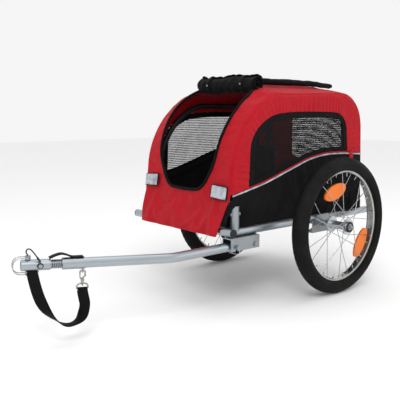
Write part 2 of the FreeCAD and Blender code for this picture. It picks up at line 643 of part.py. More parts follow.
def hitch():
    head_back, spring_back = -sheet.head_length, -sheet.head_length - sheet.spring_length
    sleeve_back = spring_back - sheet.sleeve_length
    radius, bore = sheet.head_od / 2, sheet.head_bore / 2
    head = pipe(radius, Vector(head_back, 0, 0), Vector(), bore - 0.5)
    head = head.cut(rod(bore, Vector(-sheet.socket_depth, 0, 0), Vector(5, 0, 0)))
    plug = rod(bore - 0.5, Vector(head_back, 0, 0), Vector(head_back + 18, 0, 0))
    pin_x, rivet_x = -sheet.head_pin_back, -sheet.rivet_back
    pin_hole = rod(3.05, Vector(pin_x, 0, -40), Vector(pin_x, 0, 40))
    rivet_hole = rod(2.55, Vector(rivet_x, -40, 0), Vector(rivet_x, 40, 0))
    head = head.fuse(plug).removeSplitter().cut([pin_hole, rivet_hole])
    hitch_node(head, "hitch_head")
    rivet = rod(2.5, Vector(rivet_x, -radius - 2, 0), Vector(rivet_x, radius + 5, 0)).fuse(
        [rod(4.5, Vector(rivet_x, radius + 3, 0), Vector(rivet_x, radius + 5, 0)),
         rod(4.5, Vector(rivet_x, -radius - 2, 0), Vector(rivet_x, -radius - 0.2, 0))])
    hitch_node(rivet, "hitch_rivet")
    turns = 6
    pitch = sheet.spring_length / turns
    rings = [Part.makeTorus(9.6 - sheet.spring_wire / 2, sheet.spring_wire / 2,
                            Vector(spring_back + pitch * (i + 0.5), 0, 0), X) for i in range(turns)]
    hitch_node(Part.makeCompound(rings), "hitch_spring")
    back, front = Vector(sleeve_back, 0, 0), Vector(spring_back, 0, 0)
    sleeve = pipe(sheet.sleeve_od / 2, back, front, sheet.bar_od / 2 + 0.05)
    collar = pipe(sheet.sleeve_od / 2 - 0.5, Vector(spring_back - 8, 0, 0), Vector(spring_back, 0, 0), 6)
    eye = Part.makeTorus(4.2, 1.4, Vector(sleeve_back + 5, 0, -sheet.sleeve_od / 2 - 4.3), X)
    hitch_node(sleeve.fuse([collar, eye]).removeSplitter(), "drawbar_sleeve")
    pin = rod(3, Vector(pin_x, 0, -radius - 10), Vector(pin_x, 0, radius + 4))
    knob = rod(5.2, Vector(pin_x, 0, -radius - 10), Vector(pin_x, 0, -radius - 7.4))
    top = rod(6, Vector(pin_x, 0, radius + 0.2), Vector(pin_x, 0, radius + 9))
    cross = rod(sheet.wire / 2 + 0.05, Vector(pin_x, -9, radius + 5), Vector(pin_x, 9, radius + 5))
    hitch_node(pin.fuse([top, knob]).cut(cross), "hitch_pin")
    high, low, aside = radius + 5, -radius - 5.6, 8.6
    foot, front = pin_x + 4.6, 17.5
    arm = [Vector(foot, 0.4, low), Vector(foot, aside, low), Vector(front, aside, low), Vector(front, aside, high),
           Vector(pin_x, aside, high)]
    corners = arm + [Vector(c.x, -c.y, c.z) for c in reversed(arm)]
    shape, radii = bent_rod(corners, sheet.wire / 2, bend=[1.9, 16, 16, 1.9, 1.9, 16, 16, 1.9])
    print("hitch bail radii", radii)
    hitch_node(shape, "hitch_pin_bail")
    return pin_x, rivet_x, radius, sleeve_back


def guard_strap():
    """Webbing over the spring, from the head to the sleeve."""
    half, top = sheet.webbing / 2, sheet.sleeve_od / 2 + 0.3
    start, end, tail = -sheet.head_length + 2, -sheet.head_length - 50, -sheet.head_length - 74
    middle = (start + end) / 2
    low = Part.Arc(Vector(end, 0, top), Vector(middle, 0, top + 8), Vector(start - 2, 0, top))
    high = Part.Arc(Vector(start, 0, top + 2), Vector(middle, 0, top + 10.2), Vector(end - 2, 0, top + 2))
    rest = [high.EndPoint, Vector(tail, 0, top + 2), Vector(tail, 0, top), low.StartPoint]
    edges = [low.toShape(), Part.makeLine(low.EndPoint, high.StartPoint), high.toShape()]
    edges += [Part.makeLine(a, b) for a, b in zip(rest, rest[1:])]
    shape = Part.Face(Part.Wire(edges)).extrude(Y * 2 * half)
    shape.translate(Y * -half)
    hitch_node(shape, "guard_strap")


def lanyard(pin_x, rivet_x, radius):
    corners = [Vector(*c) for c in ((pin_x, 0, radius + 9.9), (pin_x + 6, 0, radius + 17),
                                    (pin_x - 1, 1, radius + 26.3), (pin_x - 12, 5, radius + 17.3),
                                    (rivet_x, radius + 3.2, 8.8))]
    shape, radii = bent_rod(corners, 1.5)
    print("lanyard radii", radii)
    eyelet = Part.makeTorus(5.6, 1.5, Vector(rivet_x, radius + 1.6, 0), Y)
    hitch_node(Part.makeCompound([shape, eyelet]), "lanyard")


def ribbon(points, width, thickness):
    wire, radii = rounded_path([Vector(x, 0, z) for x, z in points])
    print("safety strap radii", radii)
    first = wire.Edges[0]
    start, way = first.valueAt(first.FirstParameter), first.tangentAt(first.FirstParameter)
    side, half = way.cross(Y) * (thickness / 2), Y * (width / 2)
    corners = [start + side + half, start - side + half, start - side - half, start + side - half]
    return wire.makePipeShell([Part.makePolygon(corners + corners[:1])], True, False)


def safety_strap(pin_x, radius, sleeve_back):
    ring_z, eye_x = -radius - 2.5, sleeve_back + 5
    sides = [(pin_x + 4.4, -5), (pin_x + 4.4, 5), (pin_x - 22.4, 5), (pin_x - 22.4, -5)]
    corners = [Vector(x, y, ring_z) for x, y in sides]
    ring = [rod(1.4, a, b) for a, b in zip(corners, corners[1:] + corners[:1])]
    balls = [Part.makeSphere(1.4, c) for c in corners]
    hitch_node(ring[0].fuse(ring[1:] + balls), "strap_ring")
    path = [(pin_x - 9, ring_z - 2.4), (pin_x - 14, -42), (pin_x - 29, -82), (pin_x - 51, -112),
            (pin_x - 89, -133), (pin_x - 124, -119), (pin_x - 133, -92), (pin_x - 122, -75), (eye_x, -63.1)]
    hitch_node(ribbon(path, sheet.webbing, 2), "safety_strap")
    bar, top = -60.5, -48.5
    loop = [(0.2, bar), (13, bar), (13, top), (-13, top), (-13, bar), (-0.2, bar)]
    corners = [Vector(eye_x + x, 0, z) for x, z in loop]
    hitch_node(bent_rod(corners, 1.8, bend=[3, 8.5, 8.5, 3])[0], "d_ring")
    return eye_x, top


def snap_hook(x, ring_z):
    """Swivel eye, barrel, hook and sprung gate between the D ring and the sleeve's eye."""
    eye = Part.makeTorus(4.8, 1.6, Vector(x, 0, ring_z + 1), X)
    barrel = rod(4, Vector(x, 0, ring_z + 4.6), Vector(x, 0, ring_z + 11))
    path = [(0, ring_z + 10), (0, ring_z + 13), (-6, ring_z + 17), (-6, -18.4), (6, -18.4), (6, -25.6)]
    hook = bent_rod([Vector(x + a, 0, z) for a, z in path], 2, bend=[3, 3, 5, 5])[0]
    step = rod(1.8, Vector(x, 0, ring_z + 12), Vector(x + 6, 0, ring_z + 12))
    hitch_node(barrel.fuse([eye, hook, step]), "snap_hook")
    pivot = Vector(x + 6, 0, ring_z + sheet.gate_rise)
    gate = rod(1.6, pivot, Vector(x + 6, 0, -26)).fuse(rod(1.3, pivot - Y * 3, pivot + Y * 3))
    hitch_node(gate, "hook_gate")


# Build --------------------------------------------------------------------------------------------
frame_tubes()
tube_plugs()
hinge_posts()
drawbar_bracket()
axle_brackets()
wheel_axles()
floor_panel()
cover_panels()
rolls()
reflective_patches()
folding_sides()
wheels()
drawbar_tube()
lock_pin()
pin_x, rivet_x, head_radius, sleeve_back = hitch()
guard_strap()
lanyard(pin_x, rivet_x, head_radius)
eye_x, ring_top = safety_strap(pin_x, head_radius, sleeve_back)
snap_hook(eye_x, ring_top)
doc.recompute()

for obj in doc.Objects:
    if "Invalid" in obj.State or "Error" in obj.State:
        raise RuntimeError(f"{obj.Label}: {obj.State}")
box = FreeCAD.BoundBox()
for obj in NODES:
    shape = obj.Shape
    if shape.isNull() or not shape.isValid() or not shape.Solids:
        raise RuntimeError(f"{obj.Label}: null, open or invalid shape")
    shape.exportStep(f"parts/{obj.Label}.step")
    box.add(shape.BoundBox)
    b = shape.BoundBox
    print(f"{obj.Label:24s} {len(shape.Solids):3d} {shape.Volume / 1000:9.2f}"
          f"  x {b.XMin:8.1f} {b.XMax:8.1f}  y {b.YMin:8.1f} {b.YMax:8.1f}  z {b.ZMin:7.1f} {b.ZMax:7.1f}")
print(len(NODES), "nodes", box)
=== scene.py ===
import bpy
import json
import math
import numpy as np
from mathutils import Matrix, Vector, noise
from mathutils.geometry import delaunay_2d_cdt


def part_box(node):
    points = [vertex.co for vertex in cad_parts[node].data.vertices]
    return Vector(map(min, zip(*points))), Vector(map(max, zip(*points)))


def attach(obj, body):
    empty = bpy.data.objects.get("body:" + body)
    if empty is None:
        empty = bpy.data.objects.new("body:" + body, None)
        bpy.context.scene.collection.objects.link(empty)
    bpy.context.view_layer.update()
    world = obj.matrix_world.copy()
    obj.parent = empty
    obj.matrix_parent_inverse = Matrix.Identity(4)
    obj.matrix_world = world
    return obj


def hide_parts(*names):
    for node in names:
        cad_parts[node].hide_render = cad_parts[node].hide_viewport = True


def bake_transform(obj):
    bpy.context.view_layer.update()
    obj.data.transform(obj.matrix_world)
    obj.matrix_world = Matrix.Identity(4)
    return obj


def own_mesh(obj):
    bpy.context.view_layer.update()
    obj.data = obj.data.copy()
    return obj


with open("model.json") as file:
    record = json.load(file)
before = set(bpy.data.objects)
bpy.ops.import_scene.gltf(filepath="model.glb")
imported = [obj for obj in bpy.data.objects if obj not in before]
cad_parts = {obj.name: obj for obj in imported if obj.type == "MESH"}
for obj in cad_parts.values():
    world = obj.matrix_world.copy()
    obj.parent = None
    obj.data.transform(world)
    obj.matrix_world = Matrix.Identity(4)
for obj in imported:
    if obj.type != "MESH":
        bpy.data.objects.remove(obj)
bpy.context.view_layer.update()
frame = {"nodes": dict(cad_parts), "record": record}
nodes = frame["nodes"]


def middle(name):
    low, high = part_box(name)
    return (low + high) / 2


OX = middle("front_cross_tube").x
AXLE = middle("left_hub")
SIDES = (("left", 1), ("right", -1))
HALF = 0.186  # half the cabin cover's width
EDGE = 0.012  # radius at which the cover rolls over at its side edges
SIDE_Y = 0.1885  # the side panels' distance from the middle
SAMPLES, ROWS = 360, 41  # points of the cabin's outline, and outlines across its width
LENGTH = 1.33  # the outline's length, which turns its share into metres
FRONT_SEAM, REAR_SEAM = -182, -510  # the roof panel's ends, in mm from the cross tube


def row(x, y, z):
    """A point given in mm from the front cross tube's line and the ground."""
    return Vector((OX + x / 1000, y / 1000, z / 1000))


# Camera ---------------------------------------------------------------
camera_data = bpy.data.cameras.new("camera")
camera = bpy.data.objects.new("camera", camera_data)
bpy.context.scene.collection.objects.link(camera)
camera_data.lens, camera_data.sensor_width = 53.57, 36
camera.location = row(1027.3, 1286.4, 525.5)
yaw, pitch = math.radians(229.543), math.radians(-8.340)
look = Vector((math.cos(yaw) * math.cos(pitch), math.sin(yaw) * math.cos(pitch), math.sin(pitch)))
camera.rotation_euler = look.to_track_quat("-Z", "Y").to_euler()
bpy.context.scene.camera = camera


# Materials ------------------------------------------------------------
class Shader:
    """A Principled material with short calls for its texture nodes."""

    def __init__(self, name, colour, rough, metal=0.0, **sockets):
        self.material = bpy.data.materials.new(name)
        self.material.use_nodes = True
        self.tree = self.material.node_tree
        self.main = self.tree.nodes["Principled BSDF"]
        self.colour = (*colour, 1)
        self.set(self.main, {"Base Color": self.colour, "Roughness": rough, "Metallic": metal, **sockets})
        self.coords = self.tree.nodes.new("ShaderNodeTexCoord")
        self.height = None

    def set(self, node, values):
        for key, value in values.items():
            if isinstance(value, bpy.types.NodeSocket):
                self.tree.links.new(value, node.inputs[key])
            else:
                node.inputs[key].default_value = value

    def add(self, kind, values=(), **settings):
        node = self.tree.nodes.new("ShaderNode" + kind)
        for key, value in settings.items():
            setattr(node, key, value)
        self.set(node, dict(values))
        return node

    def noise(self, scale, detail, stretch=None):
        vector = self.coords.outputs["Object"]
        if stretch:
            vector = self.add("Mapping", {"Vector": vector, "Scale": stretch}).outputs["Vector"]
        values = {"Vector": vector, "Scale": scale, "Detail": detail, "Roughness": 0.5}
        return self.add("TexNoise", values).outputs["Fac"]

    def wave(self, scale, direction, distortion=0.0):
        values = {"Vector": self.coords.outputs["UV"], "Scale": scale, "Distortion": distortion}
        return self.add("TexWave", values, bands_direction=direction, wave_profile="SIN").outputs["Fac"]

    def maths(self, operation, first, second):
        return self.add("Math", {0: first, 1: second}, operation=operation).outputs[0]

    def spread(self, value, low, high, start=0.0, end=1.0):
        values = {"Value": value, "From Min": start, "From Max": end, "To Min": low, "To Max": high}
        return self.add("MapRange", values).outputs[0]

    def tint(self, factor, colour, amount):
        """Mixes another colour over the base by a factor."""
        mix = self.add("Mix", data_type="RGBA")
        before = self.main.inputs["Base Color"]
        source = before.links[0].from_socket if before.links else self.colour
        self.set(mix, {0: self.maths("MULTIPLY", factor, amount), 6: source, 7: (*colour, 1)})
        self.set(self.main, {"Base Color": mix.outputs[2]})
        return self

    def rough(self, factor, low, high):
        self.set(self.main, {"Roughness": self.spread(factor, low, high)})
        return self

    def bump(self, height, distance, strength):
        values = {"Height": height, "Distance": distance, "Strength": strength}
        if self.height is not None:
            values["Normal"] = self.height
        self.height = self.add("Bump", values).outputs["Normal"]
        self.set(self.main, {"Normal": self.height})
        return self


def cloth(name, colour, light, dark, weave=420.0, sheen=0.25, rough=0.7, shine=0.06):
    """Plain woven cloth with lighter and darker patches, crossed threads and small creases."""
    finish = {"Sheen Weight": sheen, "Sheen Roughness": 0.45, "Specular IOR Level": shine}
    s = Shader(name, colour, rough, **finish)
    s.tint(s.spread(s.noise(9, 4), 0, 1, 0.35, 0.75), light, 0.35)
    s.tint(s.spread(s.noise(38, 4), 0, 1, 0.45, 0.8), dark, 0.30)
    threads = s.maths("MULTIPLY", s.wave(weave, "X"), s.wave(weave, "Y"))
    s.tint(threads, dark, 0.22)
    s.bump(s.noise(55, 5), 0.0012, 0.35)
    s.bump(threads, 0.00035, 0.6)
    return s.rough(s.noise(20, 3), rough - 0.12, rough + 0.12).material


WAVE_PERIOD = 0.314  # of the wave texture at scale 1, in metres


def netting(name, colour, cell=0.0022, course=0.0056):
    """Knitted mesh: round holes in a thread net, with slightly denser courses every few rows."""
    s = Shader(name, colour, 0.8, **{"Specular IOR Level": 0.1})
    holes = s.add("TexVoronoi", {"Vector": s.coords.outputs["UV"], "Scale": 1 / cell, "Randomness": 0.25},
                  feature="DISTANCE_TO_EDGE").outputs["Distance"]
    courses = s.wave(WAVE_PERIOD / course, "Y", distortion=0.5)
    thread = s.spread(courses, 0.05, 0.30)
    s.set(s.main, {"Alpha": s.maths("LESS_THAN", holes, thread)})
    s.bump(holes, 0.0006, 0.5)
    return s.material


def metal(name, colour, rough, brushed=(1, 1, 1), coat=0.0, wear=0.3):
    """Metal with fine grain, and dull patches where it is worn."""
    s = Shader(name, colour, rough, 1.0, **{"Coat Weight": coat, "Coat Roughness": 0.15})
    grain = s.noise(120, 3, stretch=brushed)
    s.tint(s.spread(s.noise(35, 4), 0, 1, 0.5, 0.8), tuple(c * 0.6 for c in colour), wear)
    s.bump(grain, 0.00012, 0.3)
    return s.rough(s.noise(24, 5), rough * 0.7, min(1, rough * 1.6)).material


def plastic(name, colour, rough=0.45, speckle=600):
    """Moulded plastic with a fine spark-eroded grain."""
    s = Shader(name, colour, rough, **{"Specular IOR Level": 0.3})
    s.tint(s.noise(30, 3), tuple(min(1, c * 1.8 + 0.01) for c in colour), 0.4)
    s.bump(s.noise(speckle, 2), 0.0002, 0.4)
    return s.rough(s.noise(50, 4), rough * 0.8, min(1, rough * 1.3)).material


M = {
    "red": cloth("red_polyester", (0.41, 0.004, 0.012), (0.52, 0.010, 0.020), (0.24, 0.002, 0.005),
                 sheen=0.04, shine=0.14),
    "black": cloth("black_polyester", (0.0045, 0.0045, 0.005), (0.012, 0.012, 0.014),
                   (0.002, 0.002, 0.002), sheen=0.02),
    "webbing": cloth("black_webbing", (0.005, 0.005, 0.005), (0.014, 0.014, 0.014),
                     (0.002, 0.002, 0.002), weave=260, sheen=0.03),
    "net": netting("black_net", (0.010, 0.010, 0.011)),
    "silver": metal("silver_paint", (0.37, 0.41, 0.44), 0.30, wear=0.15, coat=0.3),
    "zinc": metal("zinc_plate", (0.33, 0.36, 0.38), 0.36, wear=0.35),
    "steel": metal("bright_wire", (0.42, 0.43, 0.44), 0.2, wear=0.2),
    "nickel": metal("nickel_plate", (0.34, 0.33, 0.31), 0.26, wear=0.25),
    "rim": metal("rim_aluminium", (0.44, 0.44, 0.42), 0.18, (1, 1, 12), wear=0.2),
    "plastic": plastic("black_plastic", (0.006, 0.006, 0.0065)),
    "board": plastic("floor_board", (0.006, 0.006, 0.006), 0.6),
    "cord": plastic("coated_cord", (0.010, 0.012, 0.010), 0.35),
    "hub": metal("hub_shell", (0.55, 0.57, 0.60), 0.35, wear=0.2),
}


def rubber():
    s = Shader("tyre_rubber", (0.005, 0.005, 0.005), 0.62, **{"Specular IOR Level": 0.11})
    s.tint(s.spread(s.noise(18, 5), 0, 1, 0.45, 0.8), (0.014, 0.0135, 0.0125), 0.6)
    s.bump(s.noise(420, 3), 0.0003, 0.4)
    return s.rough(s.noise(40, 4), 0.5, 0.8).material


def reflector_plastic():
    finish = {"Coat Weight": 0.2, "Coat Roughness": 0.1, "Specular IOR Level": 0.25}
    s = Shader("orange_reflector", (0.66, 0.125, 0.004), 0.3, **finish)
    grid = {"Vector": s.coords.outputs["Object"], "Scale": 420.0, "Randomness": 0.0}
    cells = s.add("TexVoronoi", grid).outputs
    s.tint(s.spread(cells["Distance"], 0, 1, 0.1, 0.5), (0.85, 0.20, 0.01), 0.6)
    # Painted glow: a faint orange emission stands in for the light that the reflector sends back; the
    # reflector itself is no lamp.
    s.set(s.main, {"Emission Color": (1.0, 0.22, 0.01, 1), "Emission Strength": 0.03})
    return s.bump(cells["Distance"], 0.0006, 0.7).material


def reflective_cloth():
    s = Shader("reflective_silver", (0.50, 0.54, 0.58), 0.35, 0.35)
    beads = s.wave(330, "X"), s.wave(330, "Y")
    s.tint(s.spread(s.noise(60, 4), 0, 1, 0.42, 0.62), (0.22, 0.25, 0.29), 0.75)
    s.bump(s.maths("MULTIPLY", *beads), 0.0004, 0.6)
    return s.rough(s.noise(90, 3), 0.25, 0.55).material


M["rubber"], M["orange"], M["reflective"] = rubber(), reflector_plastic(), reflective_cloth()
LOOKS = {"tube_silver": "silver", "tube_black": "plastic", "zinc": "zinc", "black_plastic": "plastic",
         "floor_black": "board", "rim_aluminium": "rim", "spoke_steel": "steel", "hub_plastic": "hub",
         "orange_reflector": "orange", "button_silver": "nickel", "spring_steel": "steel",
         "nickel": "nickel", "tyre_rubber": "rubber", "webbing_black": "webbing", "red_cloth": "red",
         "black_cloth": "black", "black_mesh": "net", "reflective_silver": "reflective"}


# Mesh helpers ---------------------------------------------------------
def new_mesh(name, points, faces, material, uvs=None):
    mesh = bpy.data.meshes.new(name)
    mesh.from_pydata([tuple(p) for p in points], [], [tuple(f) for f in faces])
    if uvs is not None:
        layer = mesh.uv_layers.new(name="UVMap")
        for loop in mesh.loops:
            layer.data[loop.index].uv = tuple(uvs[loop.vertex_index])
    mesh.materials.append(material)
    mesh.shade_smooth()
    obj = bpy.data.objects.new(name, mesh)
    bpy.context.scene.collection.objects.link(obj)
    return obj


def baked(obj):
    """Applies every modifier, so that the mesh is final."""
    bpy.context.view_layer.update()
    final = bpy.data.meshes.new_from_object(obj.evaluated_get(bpy.context.evaluated_depsgraph_get()))
    obj.modifiers.clear()
    obj.data = final
    return obj


def modifier(obj, kind, **settings):
    m = obj.modifiers.new(kind.lower(), kind)
    for key, value in settings.items():
        setattr(m, key, value)


def lengths(points):
    """The distance along a line at each of its points."""
    return np.concatenate([[0], np.cumsum(np.linalg.norm(np.diff(points, axis=0), axis=1))])


def unit(rows):
    return rows / np.linalg.norm(rows, axis=1)[:, None]


def circle(count):
    return np.linspace(0, 2 * math.pi, count, endpoint=False)


def ease(value):
    value = np.clip(value, 0, 1)
    return value * value * (3 - 2 * value)


def about(centre, angle, radius, width):
    """A point at an angle, a radius and a width from a centre on a line along Y."""
    return centre.x + radius * math.cos(angle), centre.y + width, centre.z + radius * math.sin(angle)


def grid(rows, columns, loop_rows=False, loop_columns=False):
    """The faces between rows of points."""
    faces = []
    for i in range(rows if loop_rows else rows - 1):
        here, there = i * columns, (i + 1) % rows * columns
        for k in range(columns if loop_columns else columns - 1):
            m = (k + 1) % columns
            faces.append((here + k, here + m, there + m, there + k))
    return faces


def smooth_line(points, count, closed=False):
    """Evenly spaced points on a smooth curve through the given ones."""
    p = np.array([tuple(v) for v in points], float)
    if closed:
        p = np.vstack([p[-2:], p, p[:3]])
    else:
        p = np.vstack([2 * p[0] - p[1], p, 2 * p[-1] - p[-2]])
    dense = []
    spans = range(2, len(p) - 3) if closed else range(1, len(p) - 2)
    for i in spans:
        t = np.linspace(0, 1, 24, endpoint=False)[:, None]
        a, b, c, d = p[i - 1:i + 3]
        dense.append(0.5 * (2 * b + (c - a) * t + (2 * a - 5 * b + 4 * c - d) * t ** 2
                            + (3 * b - a - 3 * c + d) * t ** 3))
    dense = np.vstack(dense + [p[len(p) - 3 if closed else len(p) - 2][None]])
    along = lengths(dense)
    want = np.linspace(0, along[-1], count)
    return np.stack([np.interp(want, along, dense[:, k]) for k in range(dense.shape[1])], 1)


def tube(name, points, radius, material, closed=False, sides=12):
    """A round tube along points; radius is a number or one per point."""
    p = np.array([tuple(v) for v in points], float)
    r = np.broadcast_to(radius, len(p))
    way = unit((np.roll(p, -1, 0) - np.roll(p, 1, 0)) if closed else np.gradient(p, axis=0))
    side = np.cross(way[0], [0.31, 0.17, 0.93])
    rings, uvs = [], []
    angles = circle(sides)
    for i in range(len(p)):
        side = side - way[i] * np.dot(side, way[i])
        side /= np.linalg.norm(side)
        up = np.cross(way[i], side)
        rings.append(p[i] + r[i] * (np.cos(angles)[:, None] * side + np.sin(angles)[:, None] * up))
        uvs += [(a * r[i], i * 0.004) for a in angles]
    faces = grid(len(p), sides, closed, True)
    if not closed:
        faces += [tuple(range(sides))[::-1], tuple(range((len(p) - 1) * sides, len(p) * sides))]
    return new_mesh(name, np.vstack(rings), faces, material, uvs)


def lathe(name, profile, centre, axis_sign, material, steps=96, closed=True):
    """A (radius, width) profile turned about a line along Y."""
    points, uvs = [], []
    for i in range(steps):
        a = 2 * math.pi * i / steps
        for k, (radius, width) in enumerate(profile):
            points.append(about(centre, a, radius, axis_sign * width))
            uvs.append((a * 0.2, k * 0.004))
    faces = grid(steps, len(profile), True, closed)
    if axis_sign < 0:
        faces = [face[::-1] for face in faces]
    return new_mesh(name, points, faces, material, uvs)


def inside(points, polygon):
    """Which (u, v) points lie inside a closed polygon."""
    x, y = points[:, 0], points[:, 1]
    found = np.zeros(len(points), bool)
    for (ax, ay), (bx, by) in zip(polygon, np.roll(polygon, -1, 0)):
        crosses = (ay > y) != (by > y)
        with np.errstate(divide="ignore", invalid="ignore"):
            found ^= crosses & (x < (bx - ax) * (y - ay) / (by - ay) + ax)
    return found


def within(points, loops):
    """Which points lie inside the first loop and outside the others."""
    found = inside(points, loops[0])
    for hole in loops[1:]:
        found &= ~inside(points, hole)
    return found


def evenly(polygon, step, closed=True):
    """Points about a step apart along straight runs."""
    p = np.array(polygon, float)
    p = np.vstack([p, p[:1]]) if closed else p
    out = []
    for a, b in zip(p, p[1:]):
        count = max(1, int(round(np.linalg.norm(b - a) / step)))
        out += [a + (b - a) * i / count for i in range(count)]
    return np.array(out if closed else out + [p[-1]])


def region(outline, holes, step):
    """Triangles that fill a flat outline less its holes: points, faces and how many points are rim."""
    loops = [evenly(loop, step) for loop in (outline, *holes)]
    rim = np.vstack(loops)
    low, high = loops[0].min(0), loops[0].max(0)
    rows = []
    for j, v in enumerate(np.arange(low[1], high[1], step * 0.87)):
        us = np.arange(low[0] + (j % 2) * step / 2, high[0], step)
        rows.append(np.stack([us, np.full(len(us), v)], 1))
    fill = np.vstack(rows)
    fill = fill[within(fill, loops)]
    near = np.array([np.min(np.sum((rim - f) ** 2, 1)) for f in fill])
    points = np.vstack([rim, fill[near > (0.55 * step) ** 2]])
    edges, start = [], 0
    for loop in loops:
        n = len(loop)
        edges += [(start + i, start + (i + 1) % n) for i in range(n)]
        start += n
    result = delaunay_2d_cdt([Vector(p) for p in points], edges, [], 0, 1e-6)
    flat = np.array([tuple(v) for v in result[0]])
    faces = np.array([tuple(f) for f in result[2]])
    faces = faces[within(flat[faces].mean(1), loops)]
    a, b, c = (flat[faces[:, k]] for k in range(3))
    turn = (b - a)[:, 0] * (c - a)[:, 1] - (b - a)[:, 1] * (c - a)[:, 0]
    faces[turn < 0] = faces[turn < 0][:, ::-1]
    return flat, faces, len(rim)


def settle(obj, pinned, grow, cap, frames=16, gravity=0.3, stiff=18.0, bending=1.2):
    """Lets a pinned sheet relax as cloth, a little larger than its frame, so that it gathers and sags."""
    group = obj.vertex_groups.new(name="pin")
    group.add([int(i) for i in pinned], 1.0, "REPLACE")
    relax = obj.modifiers.new("cloth", "CLOTH")
    c = relax.settings
    c.vertex_group_mass, c.quality, c.mass = "pin", 6, 0.2
    c.tension_stiffness = c.compression_stiffness = stiff
    c.shear_stiffness, c.bending_stiffness = stiff / 2, bending
    c.tension_damping = c.compression_damping = c.shear_damping = 8
    c.bending_damping, c.air_damping = 1.0, 3.0
    c.shrink_min = -grow
    c.effector_weights.gravity = gravity
    relax.collision_settings.use_collision = False
    relax.point_cache.frame_end = frames + 1
    rest = np.array([v.co for v in obj.data.vertices], float)
    for f in range(1, frames + 1):
        bpy.context.scene.frame_set(f)
    shaped = obj.evaluated_get(bpy.context.evaluated_depsgraph_get()).data
    moved = np.array([v.co for v in shaped.vertices], float) - rest
    size = np.linalg.norm(moved, axis=1)[:, None]
    moved *= np.minimum(1, cap / np.maximum(size, 1e-9))
    obj.modifiers.remove(relax)
    obj.data.vertices.foreach_set("co", (rest + moved).ravel())
    obj.vertex_groups.clear()
    bpy.context.scene.frame_set(1)


# Cords ----------------------------------------------------------------
TIP = row(504, 69, 195)
WAY = (TIP - row(168, 175.5, 178)).normalized()
ACROSS = Vector((-WAY.y, WAY.x, 0)).normalized()
UP = WAY.cross(ACROSS)


def hitch(x, y, z):
    """A point given in metres from the hitch head's tip, along, across and above its line."""
    return TIP + WAY * x + ACROSS * y + UP * z


def route(points):
    """Points along the NURBS spline of a cord's control points."""
    curve = bpy.data.curves.new("route", "CURVE")
    curve.dimensions, curve.resolution_u = "3D", 24
    spline = curve.splines.new("NURBS")
    spline.points.add(len(points) - 1)
    for at, place in zip(spline.points, points):
        at.co = (*place, 1)
    spline.order_u = 3
    spline.use_endpoint_u = True
    holder = bpy.data.objects.new("route", curve)
    mesh = bpy.data.meshes.new_from_object(holder)
    line = [v.co.copy() for v in mesh.vertices]
    bpy.data.objects.remove(holder)
    return line


def ribbon(name, points, width, thick, across, material):
    """A flat strap along points; across is its width direction, one for all or one per point."""
    p = np.array([tuple(v) for v in points], float)
    way = unit(np.gradient(p, axis=0))
    side = np.broadcast_to(np.array(across, float), p.shape)
    side = unit(side - way * np.sum(side * way, 1)[:, None])
    up = np.cross(way, side)
    half, t = width / 2, thick / 2
    shape = [(-1, 0), (-0.97, -1), (-0.5, -1), (0, -1), (0.5, -1), (0.97, -1), (1, 0), (0.97, 1),
             (0.5, 1), (0, 1), (-0.5, 1), (-0.97, 1)]
    along = lengths(p)
    verts, uvs, n = [], [], len(shape)
    for i in range(len(p)):
        verts += [p[i] + side[i] * a * half + up[i] * b * t for a, b in shape]
        uvs += [(a * half, along[i]) for a, b in shape]
    faces = grid(len(p), n, False, True)
    faces += [tuple(range(n))[::-1], tuple(range((len(p) - 1) * n, len(p) * n))]
    return new_mesh(name, verts, faces, material, uvs)


# Control points of the two cords, in the hitch head's own directions
STRAP = [(-0.024, 0.005, -0.0176), (-0.029, 0.005, -0.042), (-0.043, 0.003, -0.086), (-0.066, 0.001, -0.122),
         (-0.102, 0.0, -0.149), (-0.135, 0.0, -0.134), (-0.1445, 0.0, -0.100), (-0.1385, 0.0, -0.078),
         (-0.136, 0.0, -0.0631)]
LANYARD = [(-0.015, 0.0, 0.0226), (-0.009, 0.0, 0.0297), (-0.016, 0.001, 0.0390), (-0.027, 0.005, 0.0300),
           (-0.040, 0.0159, 0.0088)]
WEBBING_THICK = 0.002
CORD_RADIUS = 0.0015


def strap_loop(name, x, y, z, start=-1.2, turn=5.2, radius=0.0029):
    """The strap's end folded round a wire that runs along the hitch, and sewn back on itself."""
    angles = np.linspace(start, start + turn, 30)
    loop = [hitch(x, y + radius * math.cos(a), z + radius * math.sin(a)) for a in angles]
    return ribbon(name, loop, 0.0225, 0.0014, WAY, M["webbing"])


def safety_strap():
    """Hangs flat to the side at both ends, with a quarter turn so that it bends in its thin direction."""
    line = route([hitch(*p) for p in STRAP])
    across = []
    for i in range(len(line)):
        t = i / (len(line) - 1)
        turn = -math.pi / 2 * (ease((t - 0.13) / 0.40) - ease((t - 0.53) / 0.25))
        across.append(tuple(WAY * math.cos(turn) + ACROSS * math.sin(turn)))
    strap = ribbon("safety_webbing", line, 0.025, WEBBING_THICK, across, M["webbing"])
    loops = [strap_loop("strap_head_loop", -0.024, 0.005, -0.0152),
             strap_loop("strap_ring_loop", -0.136, 0.0, -0.0605)]
    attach(loops[0], "hitch")
    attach(loops[1], "drawbar")
    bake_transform(strap)
    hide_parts("safety_strap")


def lanyard():
    """A coated cord from the hitch head's top round to the eyelet on the pin's bail."""
    line = route([hitch(*p) for p in LANYARD])
    cord = tube("lanyard_cord", line, CORD_RADIUS, M["cord"], sides=16)
    ring = [hitch(-0.040 + 0.0056 * math.cos(a), 0.0143, 0.0056 * math.sin(a)) for a in circle(40)]
    eyelet = tube("lanyard_eyelet", ring, CORD_RADIUS, M["cord"], closed=True)
    sleeve = tube("lanyard_ferrule", line[-9:-1], 0.0024, M["plastic"], sides=16)
    for piece in (cord, eyelet, sleeve):
        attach(piece, "hitch")
    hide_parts("lanyard")


safety_strap()
lanyard()


